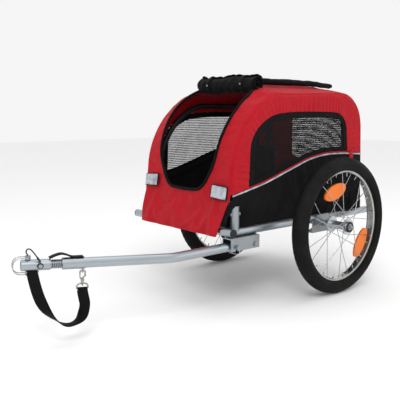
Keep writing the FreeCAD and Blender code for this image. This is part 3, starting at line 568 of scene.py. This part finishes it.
# Cabin cover ----------------------------------------------------------
def arc(a, b, c, count):
    """Points on the circle through three (x, z) points."""
    (ax, ay), (bx, by), (cx, cy) = a, b, c
    d = 2 * (ax * (by - cy) + bx * (cy - ay) + cx * (ay - by))
    aa, bb, cc = ax ** 2 + ay ** 2, bx ** 2 + by ** 2, cx ** 2 + cy ** 2
    ux = (aa * (by - cy) + bb * (cy - ay) + cc * (ay - by)) / d
    uy = (aa * (cx - bx) + bb * (ax - cx) + cc * (bx - ax)) / d
    r = math.hypot(ax - ux, ay - uy)
    start, end = math.atan2(ay - uy, ax - ux), math.atan2(cy - uy, cx - ux)
    if end < start:
        end += 2 * math.pi
    return [(ux + r * math.cos(t), uy + r * math.sin(t)) for t in np.linspace(start, end, count)]


def mixed(edge, crown, share):
    """Points between those of the cover's edge and those of its crown."""
    return [(a + (c - a) * share, b + (d - b) * share) for (a, b), (c, d) in zip(edge, crown)]


def cabin_outline(y):
    """The cabin's outline at y as evenly spaced (x, z) points in metres, front foot to rear foot."""
    share = 1 - (y / HALF) ** 2
    front = mixed([(-20, 390), (-78, 510), (-180, 579)], [(-24, 420), (-84, 550), (-200, 610)], share)
    rear = mixed([(-480, 586), (-552, 549), (-577, 490)], [(-478, 611), (-560, 570), (-585, 490)], share)
    foot = [(17, 207), (13, 235), (2, 268), (-9, 300), (-15, 340)]
    points = foot + arc(*front, 20) + arc(*rear, 16) + [(-591, 215)]
    p = evenly(np.array(points) / 1000, 0.004, closed=False)
    for _ in range(12):
        p[1:-1] = (p[:-2] + 2 * p[1:-1] + p[2:]) / 4
    along = lengths(p)
    want = np.linspace(0, along[-1], SAMPLES)
    return np.stack([np.interp(want, along, p[:, k]) for k in (0, 1)], 1) + [OX, 0]


SHELL = np.array([cabin_outline(y) for y in np.linspace(-HALF, HALF, ROWS)])
RIM_LINE = SHELL[0]


def shell(uv, lift=0.0):
    """Points of the crowned cabin at (y, share of the outline's length), rolled over at its side edges."""
    uv = np.atleast_2d(uv)
    y, t = np.clip(uv[:, 0], -HALF, HALF), np.clip(uv[:, 1], 0, 1) * (SAMPLES - 1)
    level = (y + HALF) / (2 * HALF) * (ROWS - 1)
    i, k = np.minimum(level.astype(int), ROWS - 2), np.minimum(t.astype(int), SAMPLES - 2)
    a, b = (level - i)[:, None], (t - k)[:, None]

    def at(step):
        q = np.clip(k + step, 0, SAMPLES - 1)
        return SHELL[i, q] * (1 - a) + SHELL[i + 1, q] * a

    p = at(0) * (1 - b) + at(1) * b
    way = unit(at(3) - at(-3))
    out = np.stack([way[:, 1], -way[:, 0]], 1)
    turn = np.clip((np.abs(y) - (HALF - EDGE)) / EDGE, 0, 1) * math.pi / 4
    p = p + out * (lift - EDGE * (1 - np.cos(turn)))[:, None]
    wide = np.where(turn > 0, np.sign(y) * (HALF - EDGE + (EDGE + lift) * np.sin(turn)), y)
    return np.stack([p[:, 0], wide, p[:, 1]], 1)


def outline_at(y):
    """The cabin's outline at y, between the two nearest of the shell's rows."""
    r = (min(max(y, -HALF), HALF) + HALF) / (2 * HALF) * (ROWS - 1)
    i = min(int(r), ROWS - 2)
    return SHELL[i] * (1 - r + i) + SHELL[i + 1] * (r - i)


def height_share(y, z):
    """The outline share at which the front reaches height z at y."""
    line = outline_at(y)[:150, 1]
    return float(np.interp(z, line, np.arange(150))) / (SAMPLES - 1)


def x_share(y, x_mm):
    """The outline share at which the roof passes x_mm at y."""
    line = outline_at(y)[60:, 0]
    return float(np.interp(-(OX + x_mm / 1000), -line, np.arange(60, SAMPLES))) / (SAMPLES - 1)


def rear_share(z):
    """The outline share at which the back reaches height z."""
    line = SHELL[ROWS // 2][220:, 1]
    return float(np.interp(-z, -line, np.arange(220, SAMPLES))) / (SAMPLES - 1)


def wrinkle(uv, amount, seed, scale=14.0):
    """A soft uneven lift for each point of a sheet."""
    return np.array([noise.fractal(Vector((u * scale + seed, v * scale * LENGTH, seed)), 1.0, 2.1, 3)
                     for u, v in uv]) * amount


def shell_piece(name, outline, holes, slot, step=0.008, lift=0.0, uneven=0.0012, grow=0.012,
                cap=0.007, thick=0.0014, cad=(), seed=0.0, border=None, folds=None):
    """A panel cut from the crowned cabin, with its holes."""
    scale = np.array([1, LENGTH])
    uv, faces, rim = region(np.array(outline) * scale, [np.array(h) * scale for h in holes], step)
    uv = uv / scale
    bumps = wrinkle(uv, uneven, seed)
    bumps[:rim] *= 0.3
    if folds:
        bumps += folds(uv)
    points = np.vstack([shell(uv[i], lift + bumps[i]) for i in range(len(uv))])
    obj = new_mesh(name, points, faces, M[LOOKS[slot]], uv * scale)
    thicken(obj, rim, grow, cap, thick)
    finish_cover(obj, cad)
    declare_sheet(points, faces, border)


def thicken(obj, rim, grow, cap, thick):
    """Settles a sheet that is pinned along its rim, and gives it a cloth's thickness."""
    settle(obj, range(rim), grow, cap)
    modifier(obj, "SUBSURF", levels=1, render_levels=1)
    modifier(obj, "SOLIDIFY", thickness=thick, offset=-1)
    baked(obj)


def declare_sheet(points, faces, border):
    """Works out a sheet's size from the two longer sides of its box, or a narrow border's length from its
    width; nothing uses the result.
    """
    a, b, c = (points[faces[:, k]] for k in range(3))
    area = float(np.linalg.norm(np.cross(b - a, c - a), axis=1).sum() / 2)
    long_side, wide = sorted(map(float, points.max(0) - points.min(0)), reverse=True)[:2]
    if border:
        wide, long_side = border, area / border
    long_side = max(long_side, area / wide)


def finish_cover(obj, cad=()):
    """For a piece of the cover between the two sides: ties it to the frame, gives it its own mesh and hides
    the CAD pieces it replaces.
    """
    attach(obj, "frame")
    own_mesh(obj)
    if cad:
        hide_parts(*cad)
    return obj


def door_line():
    """The doorway's (y, share) outline, closed at the top under the roll."""
    door = [(0, 316), (40, 317), (62, 321), (80, 334), (95, 355), (112, 388), (121, 420), (126, 465),
            (130, 510), (131, 545), (127, 575)]
    half = [(y / 1000, height_share(y / 1000, z / 1000)) for y, z in door]
    half += [(0.120, x_share(0.120, -150)), (0.112, x_share(0.112, -163)), (0.06, x_share(0.06, -166))]
    loop = half + [(-y, t) for y, t in reversed(half[1:])]
    return smooth_line(loop, 150, closed=True)[:-1]


def front_outline():
    corner = [(0.167, 0.0), (0.174, height_share(0.174, 0.245)), (HALF, height_share(HALF, 0.305))]
    seam = [(y, x_share(y, FRONT_SEAM)) for y in np.linspace(HALF, -HALF, 25)]
    bottom = [(y, 0.0) for y in np.linspace(-0.15, 0.15, 9)]
    return bottom + corner + seam + [(-y, t) for y, t in reversed(corner)]


def front_folds(uv):
    """Flutes that die away above the hem, and slack creases beside the doorway."""
    y, up = uv[:, 0], uv[:, 1] * LENGTH
    flute_width, flute_height, flute_depth = 0.072, 0.030, 0.0024
    lift = flute_depth * (1 + np.sin(y * 2 * math.pi / flute_width + 0.9)) * np.exp(-up / flute_height)
    creases = ((0.139, -0.10, 0.010, 0.0042, 0.15), (0.094, 0.42, 0.009, 0.0030, 0.085),
               (-0.140, 0.12, 0.011, 0.0040, 0.14), (-0.086, -0.50, 0.010, 0.0026, 0.080),
               (0.02, 0.9, 0.012, 0.0020, 0.075))
    for place, lean, width, deep, top in creases:
        reach = np.sin(np.clip(up / top, 0, 1) * math.pi) ** 0.7
        lift = lift + deep * np.exp(-((y - place - lean * up) / width) ** 2) * reach
    return lift * np.clip((0.176 - np.abs(y)) / 0.02, 0, 1)


def cover_front():
    door = door_line()
    shell_piece("front_panel_cloth", front_outline(), [door], "red_cloth", step=0.0075,
                cad=["front_panel"], seed=3.1, uneven=0.0020, folds=front_folds)
    edge = shell(door, 0.0005)
    finish_cover(tube("doorway_piping", edge, 0.0042, M["black"], closed=True))
    hem = np.array([(y, 0.002) for y in np.linspace(-0.166, 0.166, 60)])
    hem_line = np.vstack([shell(h, lift) for h, lift in zip(hem, front_folds(hem))])
    finish_cover(tube("front_hem", hem_line, 0.0018, M["red"]))


def cover_roof():
    hatch = smooth_corner([(-0.112, -215), (0.050, -215), (0.050, -490), (-0.112, -490)])
    across = np.linspace(-HALF, HALF, 20)
    outline = [(y, x_share(y, FRONT_SEAM)) for y in across]
    outline += [(y, x_share(y, REAR_SEAM)) for y in across[::-1]]
    hole = [(y, x_share(y, x)) for y, x in hatch]
    shell_piece("roof_cloth", outline, [hole], "red_cloth", cad=["roof_panel"], seed=8.0, grow=0.006)
    net = [(y * 1.02 - 0.0006, x_share(y, x)) for y, x in hatch]
    shell_piece("roof_net", net, [], "black_mesh", step=0.012, lift=-0.002, uneven=0.0006,
                thick=0.0006, cad=["roof_mesh"], seed=5.0)
    ring = shell(np.array(hole), 0.0008)
    finish_cover(tube("hatch_binding", ring, 0.0028, M["black"], closed=True))


def smooth_corner(corners, cut=0.12, count=5):
    """Rounded corners on a loop whose two coordinates have different units."""
    out, n = [], len(corners)
    for i in range(n):
        before, here, after = (np.array(corners[(i + k) % n], float) for k in (-1, 0, 1))
        a, b = here + (before - here) * cut, here + (after - here) * cut
        for t in np.linspace(0, 1, count):
            out.append(tuple((1 - t) ** 2 * a + 2 * t * (1 - t) * here + t ** 2 * b))
    return out


def cover_rear():
    corner = rear_share(0.230)
    outline = [(y, x_share(y, REAR_SEAM)) for y in np.linspace(-HALF, HALF, 15)]
    outline += [(HALF, corner), (0.17, 0.992), (-0.17, 0.992), (-HALF, corner)]
    half, top, foot = 0.105, rear_share(0.520), rear_share(0.372)
    window = smooth_corner([(-half, top), (half, top), (half, foot), (-half, foot)], 0.14)
    shell_piece("rear_panel_cloth", outline, [window], "red_cloth", cad=["rear_panel"], seed=12.0,
                grow=0.008)
    shell_piece("rear_net", [(y * 1.02, t) for y, t in window], [], "black_mesh", step=0.011,
                lift=-0.002, uneven=0.0006, thick=0.0006, cad=["rear_mesh"], seed=15.0)
    ring = np.array(window)
    centre = ring.mean(0)
    outer = centre + (ring - centre) * [1.17, 1.2]
    shell_piece("rear_window_border", outer, [ring], "black_cloth", step=0.009, lift=0.0016,
                uneven=0.0003, grow=0.0, border=0.018)


# Side panels ----------------------------------------------------------
SEAM = smooth_line([(30, 303), (-22, 313), (-85, 326), (-150, 341), (-255, 373), (-325, 393), (-395, 403),
                    (-455, 404), (-508, 402), (-585, 397)], 90) / 1000 + [OX, 0]


def seam_z(x):
    """Height of the seam between the red cloth and the black, at x."""
    return np.interp(x, SEAM[::-1, 0], SEAM[::-1, 1])


def side_points(xz, sign, proud=0.0, uneven=0.0006, pucker=0.0):
    """Side panel points: rolled at the outline, tucked in above the rail and deeper round the front post, and
    let out a little at the rear post.
    """
    xz = np.array(xz, float)
    nearest = np.array([np.argmin(np.sum((RIM_LINE - p) ** 2, 1)) for p in xz])
    way = unit(np.gradient(RIM_LINE, axis=0))
    inward = np.stack([-way[:, 1], way[:, 0]], 1)[nearest]
    d = np.clip(np.sum((xz - RIM_LINE[nearest]) * inward, 1), 0, None)
    phi = math.pi / 4 * (1 + np.clip(d / EDGE, 0, 1))
    want = np.where(d < EDGE, EDGE * (1 - np.cos(phi)), d)
    shifted = xz + inward * (want - d)[:, None]
    y = SIDE_Y - EDGE + EDGE * np.sin(phi) - (SIDE_Y - HALF) * (d < EDGE) * (1 - d / EDGE)
    x, z = shifted[:, 0], shifted[:, 1]
    low = ease((0.300 - z) / 0.065)
    front_post = np.exp(-((x - OX + 0.040) / 0.026) ** 2)
    rear_post = np.clip((OX - 0.500 - x) / 0.030, 0, 1)
    y = y - low * ((0.010 + 0.024 * front_post) * (1 - rear_post) - 0.0015 * rear_post)
    along, period = nearest * 0.0037, 0.019
    waves = np.sin(along * 2 * math.pi / period + 3 * np.sin(along * 23)) * (0.6 + 0.4 * np.sin(along * 41))
    gather = pucker * waves * np.exp(-((d - 0.045) / 0.022) ** 2)
    lumps = np.array([noise.fractal(Vector((a * 13, b * 13, sign * 3.0)), 1.0, 2.1, 3) for a, b in xz])
    return np.stack([x, sign * (y + proud + gather + uneven * lumps), z], 1)


def window_line(shrink=0.0):
    """The side window's outline in (x, z), with its foot on the seam."""
    top = [(-77, 327), (-80, 380), (-83, 436), (-93, 463), (-112, 487), (-145, 509), (-185, 522), (-262, 528),
           (-350, 528.5), (-432, 527), (-462, 521), (-483, 507), (-494, 485), (-500, 440), (-503, 404)]
    line = smooth_line(top, 70) / 1000 + [OX, 0]
    foot = [(x, seam_z(x) + 0.003) for x in np.linspace(OX - 0.497, OX - 0.083, 40)]
    loop = np.vstack([line, foot])
    loop[:, 1] = np.maximum(loop[:, 1], seam_z(loop[:, 0]) + 0.003)
    if not shrink:
        return loop
    loop = evenly(loop, 0.006)
    way = unit(np.roll(loop, -1, 0) - np.roll(loop, 1, 0))
    area = np.sum(loop[:, 0] * np.roll(loop[:, 1], -1) - np.roll(loop[:, 0], -1) * loop[:, 1])
    normal = np.stack([-way[:, 1], way[:, 0]], 1) * np.sign(area)
    inner = loop + normal * shrink
    gap = np.array([np.min(np.sum((loop - p) ** 2, 1)) for p in inner]) ** 0.5
    return inner[gap > shrink * 0.93]


def side_piece(kind, node, side, sign, outline, holes, slot, step=0.008, proud=0.0, thick=0.0014,
               pucker=0.0, grow=0.008, cap=0.005, border=None):
    """A sheet cut from one side of the cabin, with its holes."""
    uv, faces, rim = region(outline, holes, step)
    points = side_points(uv, sign, proud, pucker=pucker)
    faces_out = faces if sign < 0 else faces[:, ::-1]
    obj = new_mesh(f"{side}_{kind}", points, faces_out, M[LOOKS[slot]], uv)
    thicken(obj, rim, grow, cap, thick)
    ride_side(obj, [f"{side}_{node}"])
    declare_sheet(points, faces, border)


def ride_side(obj, cad=()):
    """For a piece of a folding side: its transform is baked into its mesh, and the CAD pieces it replaces are
    hidden.
    """
    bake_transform(obj)
    if cad:
        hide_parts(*cad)


def cover_side(side, sign):
    window = window_line()
    top = [tuple(p) for p in RIM_LINE if p[1] > seam_z(p[0]) + 0.003]
    seam_up = [(x, seam_z(x) + 0.0028) for x in np.linspace(top[-1][0], top[0][0], 70)][1:-1]
    upper = np.array(top + seam_up)
    hole = window.copy()
    hole[:, 1] = np.maximum(hole[:, 1], seam_z(hole[:, 0]) + 0.0065)
    side_piece("side_cloth", "side_panel", side, sign, upper, [hole], "red_cloth", pucker=0.0022, step=0.0050)
    side_piece("window_binding", "window_border", side, sign, window, [window_line(0.017)], "black_cloth",
               step=0.007, proud=-0.0012, grow=0.004, cap=0.002, border=0.018)
    side_piece("window_net", "window_mesh", side, sign, window_line(0.012), [], "black_mesh",
               step=0.011, proud=-0.003, thick=0.0006, grow=0.01, cap=0.004)
    front = [(-0.022, 0.3105), (-0.011, 0.300), (0.001, 0.268), (0.008, 0.242), (-0.013, 0.238)]
    bottom = [(-0.022, 0.2265)] + [(-x, 0.2262) for x in (0.1, 0.3, 0.5, 0.588)]
    lower = [(OX + x, z) for x, z in front + bottom + [(-0.588, 0.3), (-0.583, 0.394)]]
    lower += [(x, seam_z(x) - 0.0018) for x in np.linspace(OX - 0.578, OX - 0.03, 70)]
    side_piece("lower_cloth", "lower_panel", side, sign, np.array(lower), [], "black_cloth", grow=0.006)
    line = SEAM[(SEAM[:, 0] < OX - 0.018) & (SEAM[:, 0] > OX - 0.580)]
    piping = tube(f"{side}_seam_piping", side_points(line, sign, 0.0008), 0.0023, M["reflective"])
    ride_side(piping, [f"{side}_side_piping"])
    tape = ribbon(f"{side}_seam_tape", side_points(line, sign, -0.0032), 0.016, 0.0008, (0, 0, 1), M["black"])
    ride_side(tape)
    edge = side_points(RIM_LINE[RIM_LINE[:, 1] > 0.30], sign)
    ride_side(tube(f"{side}_edge_welt", edge, 0.0017, M["red"], sides=8))
    tab = [(OX - 0.517, 0.409), (OX - 0.5175, 0.400), (OX - 0.518, 0.390), (OX - 0.5185, 0.3825)]
    tab = side_points(tab, sign, 0.0035)
    ride_side(ribbon(f"{side}_pull_tab", tab, 0.018, 0.0016, (1, 0, 0), M["red"]))


def patches():
    """Two reflective tabs on black backing, below the doorway's corners."""
    wide, tall, half_width, half_height = 17, 9, 0.029, 0.018 / LENGTH
    kinds = (("backing", 1.12, 0.0016, "black_cloth", ()),
             ("patch", 1.0, 0.003, "reflective_silver", ["reflective_patches"]))
    for side, at, height in (("left", 0.146, 0.319), ("right", -0.152, 0.329)):
        share = height_share(abs(at), height)
        for kind, grow, lift, slot, cad in kinds:
            ys = np.linspace(-half_width, half_width, wide) * grow
            ts = np.linspace(-half_height, half_height, tall) * grow
            uv = np.array([(at + y, share + t) for t in ts for y in ys])
            points = np.vstack([shell(q, lift + 0.0012 * math.sin(q[0] * 90)) for q in uv])
            obj = new_mesh(f"{side}_front_{kind}", points, grid(tall, wide), M[LOOKS[slot]],
                           uv * [1, LENGTH])
            modifier(obj, "SOLIDIFY", thickness=0.0014, offset=1)
            baked(obj)
            finish_cover(obj, cad)


def roll(name, line, radius, turns, material, lump, seed, straps=()):
    """Cloth rolled up round a line: a spiral section, lumpy along its length and nipped in at its straps."""
    line = np.array(line)
    length = np.linalg.norm(line[-1] - line[0])
    way = (line[-1] - line[0]) / length
    side = np.cross([0, 0, 1.0], way)
    side /= np.linalg.norm(side)
    up = np.cross(way, side)
    around, stations = int(44 * turns), len(line)
    angles = np.linspace(0, 2 * math.pi * turns, around)
    verts, uvs = [], []
    along = np.linspace(0, 1, stations)
    for i in range(stations):
        nip = 1 - sum(0.07 * math.exp(-((along[i] - s) / 0.035) ** 2) for s in straps)
        end = 1 - 0.05 * (max(0, abs(along[i] - 0.5) * 2 - 0.93) / 0.07)
        slip = way * {0: -0.004, stations - 1: 0.004}.get(i, 0)
        for k, a in enumerate(angles):
            grow = radius * (0.22 + 0.78 * k / (around - 1))
            place = Vector((math.cos(a) * 0.8 + seed, math.sin(a) * 0.8, along[i] * 11))
            fold = 0.035 * math.sin(a * 3 + along[i] * 19 + 2 * math.sin(along[i] * 31))
            r = grow * nip * end * (1 + lump * noise.fractal(place, 1.0, 2.0, 4) + fold)
            verts.append(line[i] + side * r * math.cos(a) + up * r * math.sin(a)
                         + slip * math.sin(a * 0.5 + seed))
            uvs.append((a * radius, along[i] * length))
    obj = new_mesh(name, verts, grid(stations, around), material, uvs)
    modifier(obj, "SOLIDIFY", thickness=radius * 0.13, offset=-1)
    modifier(obj, "SUBSURF", levels=1, render_levels=1)
    return baked(obj)


def rolls():
    """The front cover rolled up over the doorway with its straps and studs, and the hatch's on the roof."""
    line = [(OX - 0.172, v, 0.6052 + 0.0012 * math.sin(v * 40)) for v in np.linspace(-0.113, 0.126, 46)]
    strap_places = (0.24, 0.80)
    big = roll("front_roll_cloth", line, 0.0262, 3.25, M["black"], 0.16, 2.0, strap_places)
    finish_cover(big, ["front_roll"])
    dome = [(0.0001, 0), (0.0026, 0), (0.0030, 0.0006), (0.0026, 0.0014), (0.0016, 0.0019), (0.0001, 0.0020)]
    for number, share in enumerate(strap_places):
        at = np.array(line[int(share * (len(line) - 1))])
        loop = [at + [0.0233 * math.cos(a), 0, 0.0233 * math.sin(a)] for a in np.linspace(-2.2, 4.0, 40)]
        strap = ribbon(f"roll_strap_{number + 1}", loop, 0.014, 0.0014, (0, 1, 0), M["webbing"])
        finish_cover(strap)
        stud_at = Vector(at + [0.0240 * math.cos(0.25), 0, 0.0240 * math.sin(0.25) - 0.006])
        stud = lathe(f"roll_stud_{number + 1}", dome, stud_at, 1, M["nickel"], 24)
        turn_to(stud, stud_at, Vector((1, 0, -0.1)))
        finish_cover(stud)
    thin = [(OX + v, 0.070 - 0.004 * math.sin((v + 0.2) * 9), 0.6155 - 0.10 * max(0, -v - 0.40) ** 1.5
             + 0.0006 * math.sin(v * 50)) for v in np.linspace(-0.203, -0.560, 60)]
    small = roll("roof_roll_cloth", thin, 0.0100, 2.6, M["black"], 0.12, 7.0, (0.1, 0.5, 0.93))
    finish_cover(small, ["roof_roll"])


def turn_to(obj, centre, direction):
    """Turns a lathed piece from the +Y line to a direction, in its mesh."""
    turn = Vector((0, 1, 0)).rotation_difference(direction.normalized())
    for v in obj.data.vertices:
        v.co = centre + turn @ (v.co - centre)


cover_front()
cover_roof()
cover_rear()
for side, sign in SIDES:
    cover_side(side, sign)
patches()
rolls()


# Wheels ---------------------------------------------------------------
def wheel_middle(node):
    """The axle's line at a node's middle."""
    return Vector((AXLE.x, middle(node).y, AXLE.z))


def tread(angle, across, blocks=62):
    """-1 in the grooves between the tyre's tread blocks, else 0; across runs from -1 to 1."""
    if abs(across) > 0.86:
        return 0.0
    pitch = angle * blocks / (2 * math.pi) + 0.55 * abs(across) + (0.5 if across > 0 else 0)
    gap = abs(pitch % 1 - 0.5) < 0.40
    lane = min(abs(abs(across) - 0.30), abs(abs(across) - 0.62)) > 0.045 and abs(across) > 0.035
    return 0.0 if gap and lane else -1.0


def tyre(side):
    """A treaded tyre with its bead and the ribs on its sidewalls."""
    outer, half, groove, steps = 0.200, 0.0225, 0.0011, 496
    centre = wheel_middle(f"{side}_tyre")
    walls = np.linspace(-132, -62, 11), np.linspace(-56, 56, 29), np.linspace(62, 132, 11)
    crown = np.radians(np.concatenate(walls))
    points, uvs = [], []
    for i in range(steps):
        a = 2 * math.pi * i / steps
        for c in crown:
            low = tread(a, math.degrees(c) / 56) if abs(c) <= math.radians(57) else 0.0
            r = half + groove * low
            points.append(about(centre, a, outer - half + r * math.cos(c), r * math.sin(c)))
            uvs.append((a * outer, c * half))
    faces = [(a, d, c, b) for a, b, c, d in grid(steps, len(crown), True)]
    obj = new_mesh(f"{side}_tyre_rubber", points, faces, M["rubber"], uvs)
    pieces = [obj]
    ribs = [(0.1745, 0.0223, 0.0007), (0.1800, 0.0224, 0.0006), (0.1660, 0.0196, 0.0008)]
    for number, (radius, width, thick) in enumerate(ribs):
        for face in (-1, 1):
            ring = [about(centre, a, radius, face * width) for a in circle(160)]
            pieces.append(tube(f"{side}_sidewall_rib_{number}_{(face + 1) // 2}", ring, thick, M["rubber"],
                               True, 8))
    bead = [(0.1632, -0.0172), (0.1632, 0.0172), (0.1600, 0.0098), (0.1600, -0.0098)]
    pieces.append(lathe(f"{side}_tyre_bead", bead, centre, 1, M["rubber"], 160))
    for piece in pieces:
        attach(piece, f"{side}_wheel")
    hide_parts(f"{side}_tyre")


def nipples(side, count=20, radius=0.1552):
    """The nuts that hold the spokes in the rim, turned alternately to the hub's two flanges."""
    centre = wheel_middle(f"{side}_rim")
    profile = [(0.0002, 0), (0.0024, 0), (0.0024, 0.004), (0.0016, 0.005), (0.0014, 0.011), (0.0008, 0.0115),
               (0.0002, 0.0115)]
    for i in range(count):
        a = 2 * math.pi * (i + 0.5) / count
        foot = centre + Vector((math.cos(a), 0, math.sin(a))) * radius
        lean = Vector((-math.cos(a), 0.19 if i % 2 else -0.19, -math.sin(a))).normalized()
        nipple = lathe(f"{side}_nipple_{i + 1}", profile, foot, 1, M["steel"], 12, closed=False)
        turn_to(nipple, foot, lean)
        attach(nipple, f"{side}_wheel")


def hub_cap(side, sign):
    """Black dust cap and bright washer round the axle's end."""
    centre = Vector((AXLE.x, sign * 0.284, AXLE.z))
    cap = [(0.0090, 0), (0.0155, 0), (0.0155, 0.0030), (0.0140, 0.0045), (0.0105, 0.0045), (0.0090, 0.0030)]
    washer = [(0.0063, 0), (0.0092, 0), (0.0092, 0.0034), (0.0085, 0.0040), (0.0063, 0.0040)]
    kinds = (("cap", cap, "plastic", "black_plastic"), ("washer", washer, "steel", "zinc"))
    for kind, profile, material, slot in kinds:
        piece = lathe(f"{side}_hub_{kind}", profile, centre, sign, M[material], 64)
        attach(piece, f"{side}_wheel")


for side, sign in SIDES:
    tyre(side)
    nipples(side)
    hub_cap(side, sign)


# Hitch ----------------------------------------------------------------
def hitch_spring():
    turns, start, end, radius, wire = 6.5, -0.0890, -0.0630, 0.0090, 0.0016
    line = []
    for t in np.linspace(0, 1, 260):
        a = 2 * math.pi * turns * t
        line.append(hitch(start + (end - start) * t, radius * math.cos(a), radius * math.sin(a)))
    coil = tube("hitch_coil", line, wire, M["zinc"], sides=14)
    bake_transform(coil)
    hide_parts("hitch_spring")


def guard_strap():
    """A short strap that bridges the spring."""
    knots = [(-0.1370, 0.0143), (-0.1300, 0.0143), (-0.1200, 0.0143), (-0.1110, 0.0150), (-0.0990, 0.0200),
             (-0.0870, 0.0226), (-0.0750, 0.0200), (-0.0630, 0.0150), (-0.0610, 0.0143)]
    line = smooth_line([hitch(x, -0.002, z) for x, z in knots], 50)
    strap = ribbon("guard_webbing", line, 0.020, WEBBING_THICK, ACROSS, M["webbing"])
    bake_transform(strap)
    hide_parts("guard_strap")


hitch_spring()
guard_strap()


# Materials on the CAD pieces ------------------------------------------
for part in frame["record"]["subparts"]:
    for place in nodes[part["node"]].material_slots:
        place.material = M[LOOKS[part["material_slot"]]]


# Floor and light ------------------------------------------------------
def floor():
    s = Shader("studio_floor", (0.93, 0.93, 0.93), 0.9)
    s.tint(s.noise(3, 2), (0.90, 0.90, 0.90), 0.4)
    reach, low = 9, -0.0004
    points = [(-reach, -reach, low), (reach, -reach, low), (reach, reach, low), (-reach, reach, low)]
    new_mesh("floor", points, [(0, 1, 2, 3)], s.material)


def lamp(name, place, target, size, power):
    data = bpy.data.lights.new(name, "AREA")
    data.shape, data.size, data.energy = "SQUARE", size, power
    obj = bpy.data.objects.new(name, data)
    obj.location = place
    obj.rotation_euler = (Vector(target) - Vector(place)).to_track_quat("-Z", "Y").to_euler()
    bpy.context.scene.collection.objects.link(obj)


def studio():
    bpy.context.scene.view_settings.view_transform = "Standard"
    world = bpy.data.worlds.new("studio")
    world.use_nodes = True
    world.node_tree.nodes["Background"].inputs["Color"].default_value = (1, 1, 1, 1)
    world.node_tree.nodes["Background"].inputs["Strength"].default_value = 0.92
    bpy.context.scene.world = world
    lamp("key", (1.6, 1.9, 2.4), (0, 0, 0.3), 1.2, 34)
    lamp("top", (-0.3, 0.2, 2.8), (-0.2, 0, 0.3), 1.8, 10)
    lamp("side", (-1.8, 2.2, 1.2), (-0.2, 0.1, 0.3), 1.4, 6)


floor()
studio()
